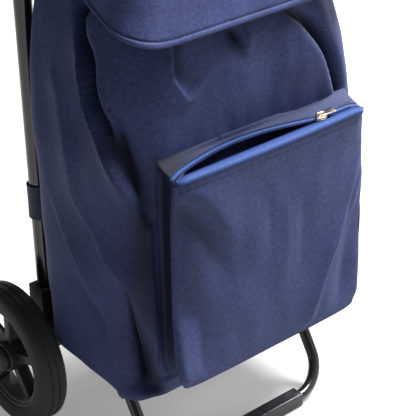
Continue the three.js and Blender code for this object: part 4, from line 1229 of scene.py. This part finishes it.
for side, s in SIDES:
    hub_at, out = (0, AXLE_Y, AXLE_Z), (s, 0, 0)
    placed(turned(f"{side}_tyre_ring", hub_at, out, TREAD, tread_foam, 80), f"{side}_wheel", "tyre",
           f"{side}_tyre")
    rim = [turned("barrel", hub_at, out, BARREL, nylon, 72)]
    rim += [turned("hub", hub_at, out, HUB, nylon, 40)]
    rim += [spoke(s, k) for k in range(SPOKES)]
    select_only(*rim)
    bpy.ops.object.join()
    rim[0].name = f"{side}_spoked_rim"
    placed(rim[0], f"{side}_wheel", "black_plastic", f"{side}_wheel_rim")
    bush = [(5.3, 149.6), (8, 149.6), (8, 180.4), (5.3, 180.4), (5.3, 149.6)]
    placed(turned(f"{side}_bush", hub_at, out, bush, nylon, 24), f"{side}_wheel", "black_plastic",
           f"{side}_wheel_bush")
    spacer = [(5.3, 133.0), (8.4, 133.0), (9, 133.6), (9, 148.6), (8.4, 149.2), (5.3, 149.2),
              (5.3, 133.0)]
    placed(turned(f"{side}_spacer", hub_at, out, spacer, nylon, 28), "frame", "black_plastic",
           f"{side}_axle_spacer")
    cap = [(5.3, 180.8), (13.4, 180.8), (14, 181.4), (14, 183.6), (13.2, 185.6), (11, 187.6),
           (7.6, 189), (3.4, 189.5), (0.4, 189.5)]
    placed(turned(f"{side}_hub_cap", hub_at, out, cap, nylon, 36), "frame", "black_plastic",
           f"{side}_axle_cap")
axle_rod = [(4.2, -186.5), (5, -185.7), (5, 185.7), (4.2, 186.5)]
placed(turned("axle_rod", (0, AXLE_Y, AXLE_Z), (1, 0, 0), axle_rod, zinc, 24), "frame",
       "zinc_steel", "axle")

# %% [markdown]
# ### Foot
# The foot is one bent tube. A moulded sleeve is slid over its bar, square outside so that it stands
# flat, with a rib along each top edge and a collar at each end.

# %% Foot, its sleeve and its pins
pin_low, pin_high = extent("right_foot_pin")
PIVOT_Y, PIVOT_Z = (pin_low.y + pin_high.y) / 2, (pin_low.z + pin_high.z) / 2
sleeve_low, sleeve_high = extent("foot_sleeve")
BAR_Y, BAR_Z = (sleeve_low.y + sleeve_high.y) / 2, (sleeve_low.z + sleeve_high.z) / 2
lean = math.atan2(PIVOT_Z - BAR_Z, PIVOT_Y - BAR_Y)
leg_top = (PIVOT_Y + 4 * math.cos(lean), PIVOT_Z + 4 * math.sin(lean))
foot_route = [(UPRIGHT_X, *leg_top), (UPRIGHT_X, BAR_Y, BAR_Z), (-UPRIGHT_X, BAR_Y, BAR_Z),
              (-UPRIGHT_X, *leg_top)]
placed(bent_tube("foot_loop", foot_route, 6.5, 39, epoxy, 32), "foot", "painted_tube", "foot_tube")

select_only()
bpy.ops.mesh.primitive_cube_add(size=1, enter_editmode=True, location=at(0, BAR_Y, BAR_Z))
bpy.ops.transform.resize(value=(sleeve_high - sleeve_low) * MM)
pick("edges", lambda edge: abs((edge.verts[0].co - edge.verts[1].co).x) > 0.1)
bpy.ops.mesh.select_mode(type="EDGE")
bpy.ops.mesh.bevel(offset=2.6 * MM, segments=3, affect="EDGES")
bpy.ops.mesh.select_mode(type="FACE")
for reach in (1, -1):  # a bisect at each end marks off the collar
    bpy.ops.mesh.select_all(action="SELECT")
    bpy.ops.mesh.bisect(plane_co=at(reach * (sleeve_high.x - 7), 0, 0), plane_no=(1, 0, 0))
INSIDE_COLLARS = (sleeve_high.x - 8) * MM
pick("faces", lambda face: abs(face.calc_center_median().x) < INSIDE_COLLARS
     and face.calc_area() > 4e-4 and face.normal.z > -0.9)
bpy.ops.mesh.inset(thickness=1.7 * MM, depth=-0.7 * MM)
bpy.ops.mesh.select_all(action="DESELECT")
pick("faces", lambda face: abs(face.normal.x) > 0.99 and face.calc_area() > 1e-4)
bpy.ops.mesh.inset(thickness=1.2 * MM, depth=0)
bpy.ops.mesh.inset(thickness=0.8 * MM, depth=-1.2 * MM)
sleeve = settle("foot_bar_sleeve", polypropylene)
apply(sleeve, "BEVEL", width=0.35 * MM, segments=2, limit_method="ANGLE",
      angle_limit=math.radians(40))
bpy.ops.object.shade_smooth_by_angle(angle=math.radians(SMOOTH_BELOW))
placed(sleeve, "foot", "sleeve_plastic", "foot_sleeve")
for side, s in SIDES:
    head = [(0.4, -11.3), (3.6, -11.3), (4.6, -11), (5, -10.4), (5, -9.3), (3, -9.3), (3, 9.3),
            (5, 9.3), (5, 10.4), (4.6, 11), (3.6, 11.3), (0.4, 11.3)]
    placed(turned(f"{side}_rivet", (s * UPRIGHT_X, PIVOT_Y, PIVOT_Z), (1, 0, 0), head, zinc, 24),
           "frame", "zinc_steel", f"{side}_foot_pin")

# %% [markdown]
# ### Slider and pull
# The slider is die-cast: two plates with a wedge between them, a bridge over the top one, and a
# stamped pull that hangs from the bridge. Both are nickel plated.

# %% Slider and pull
x0, x1, top = slider_low.x, slider_high.x, slider_low.z + 4
zip_y = (slider_low.y + slider_high.y) / 2
select_only()
bpy.ops.mesh.primitive_cube_add(size=1, enter_editmode=True,
                                location=at(slider_middle, zip_y, slider_low.z + 2))
bpy.ops.transform.resize(value=(12 * MM, 9 * MM, 4 * MM))
bpy.ops.mesh.subdivide(number_cuts=2)
for reach, width in ((-0.5, 0.42), (-1 / 6, 0.86), (0.5, 0.94)):
    pick("verts", lambda vert: abs(vert.co.x - reach * 12 * MM) < 0.1 * MM)
    bpy.ops.transform.resize(value=(1, width, 1), center_override=at(slider_middle, zip_y, top))
# the slot between the plates
pick("faces", lambda face: abs(face.calc_center_median().z) < 0.4 * MM and abs(face.normal.z) < 0.5)
bpy.ops.mesh.extrude_region_shrink_fatten(TRANSFORM_OT_shrink_fatten={"value": -1.1 * MM})
slider = settle("zip_slider_body", nickel)
apply(slider, "BEVEL", width=0.35 * MM, segments=2, limit_method="ANGLE",
      angle_limit=math.radians(35))
bpy.ops.object.shade_smooth_by_angle(angle=math.radians(SMOOTH_BELOW))
arch = [(x0 + 2.2, zip_y, top - 0.6), (x0 + 2.2, zip_y, slider_high.z - 0.9),
        (x1 - 1.9, zip_y, slider_high.z - 0.9), (x1 - 1.9, zip_y, top - 0.6)]
bridge = bent_tube("bridge", arch, 0.85, 1.5, nickel, 12)
select_only(slider, bridge)
bpy.ops.object.join()
placed(slider, "slider", "slider_metal", "zip_slider")
placed(moulded("zip_pull_tab", "zip_pull", 0.28, nickel, 2), "pull", "slider_metal", "zip_pull")
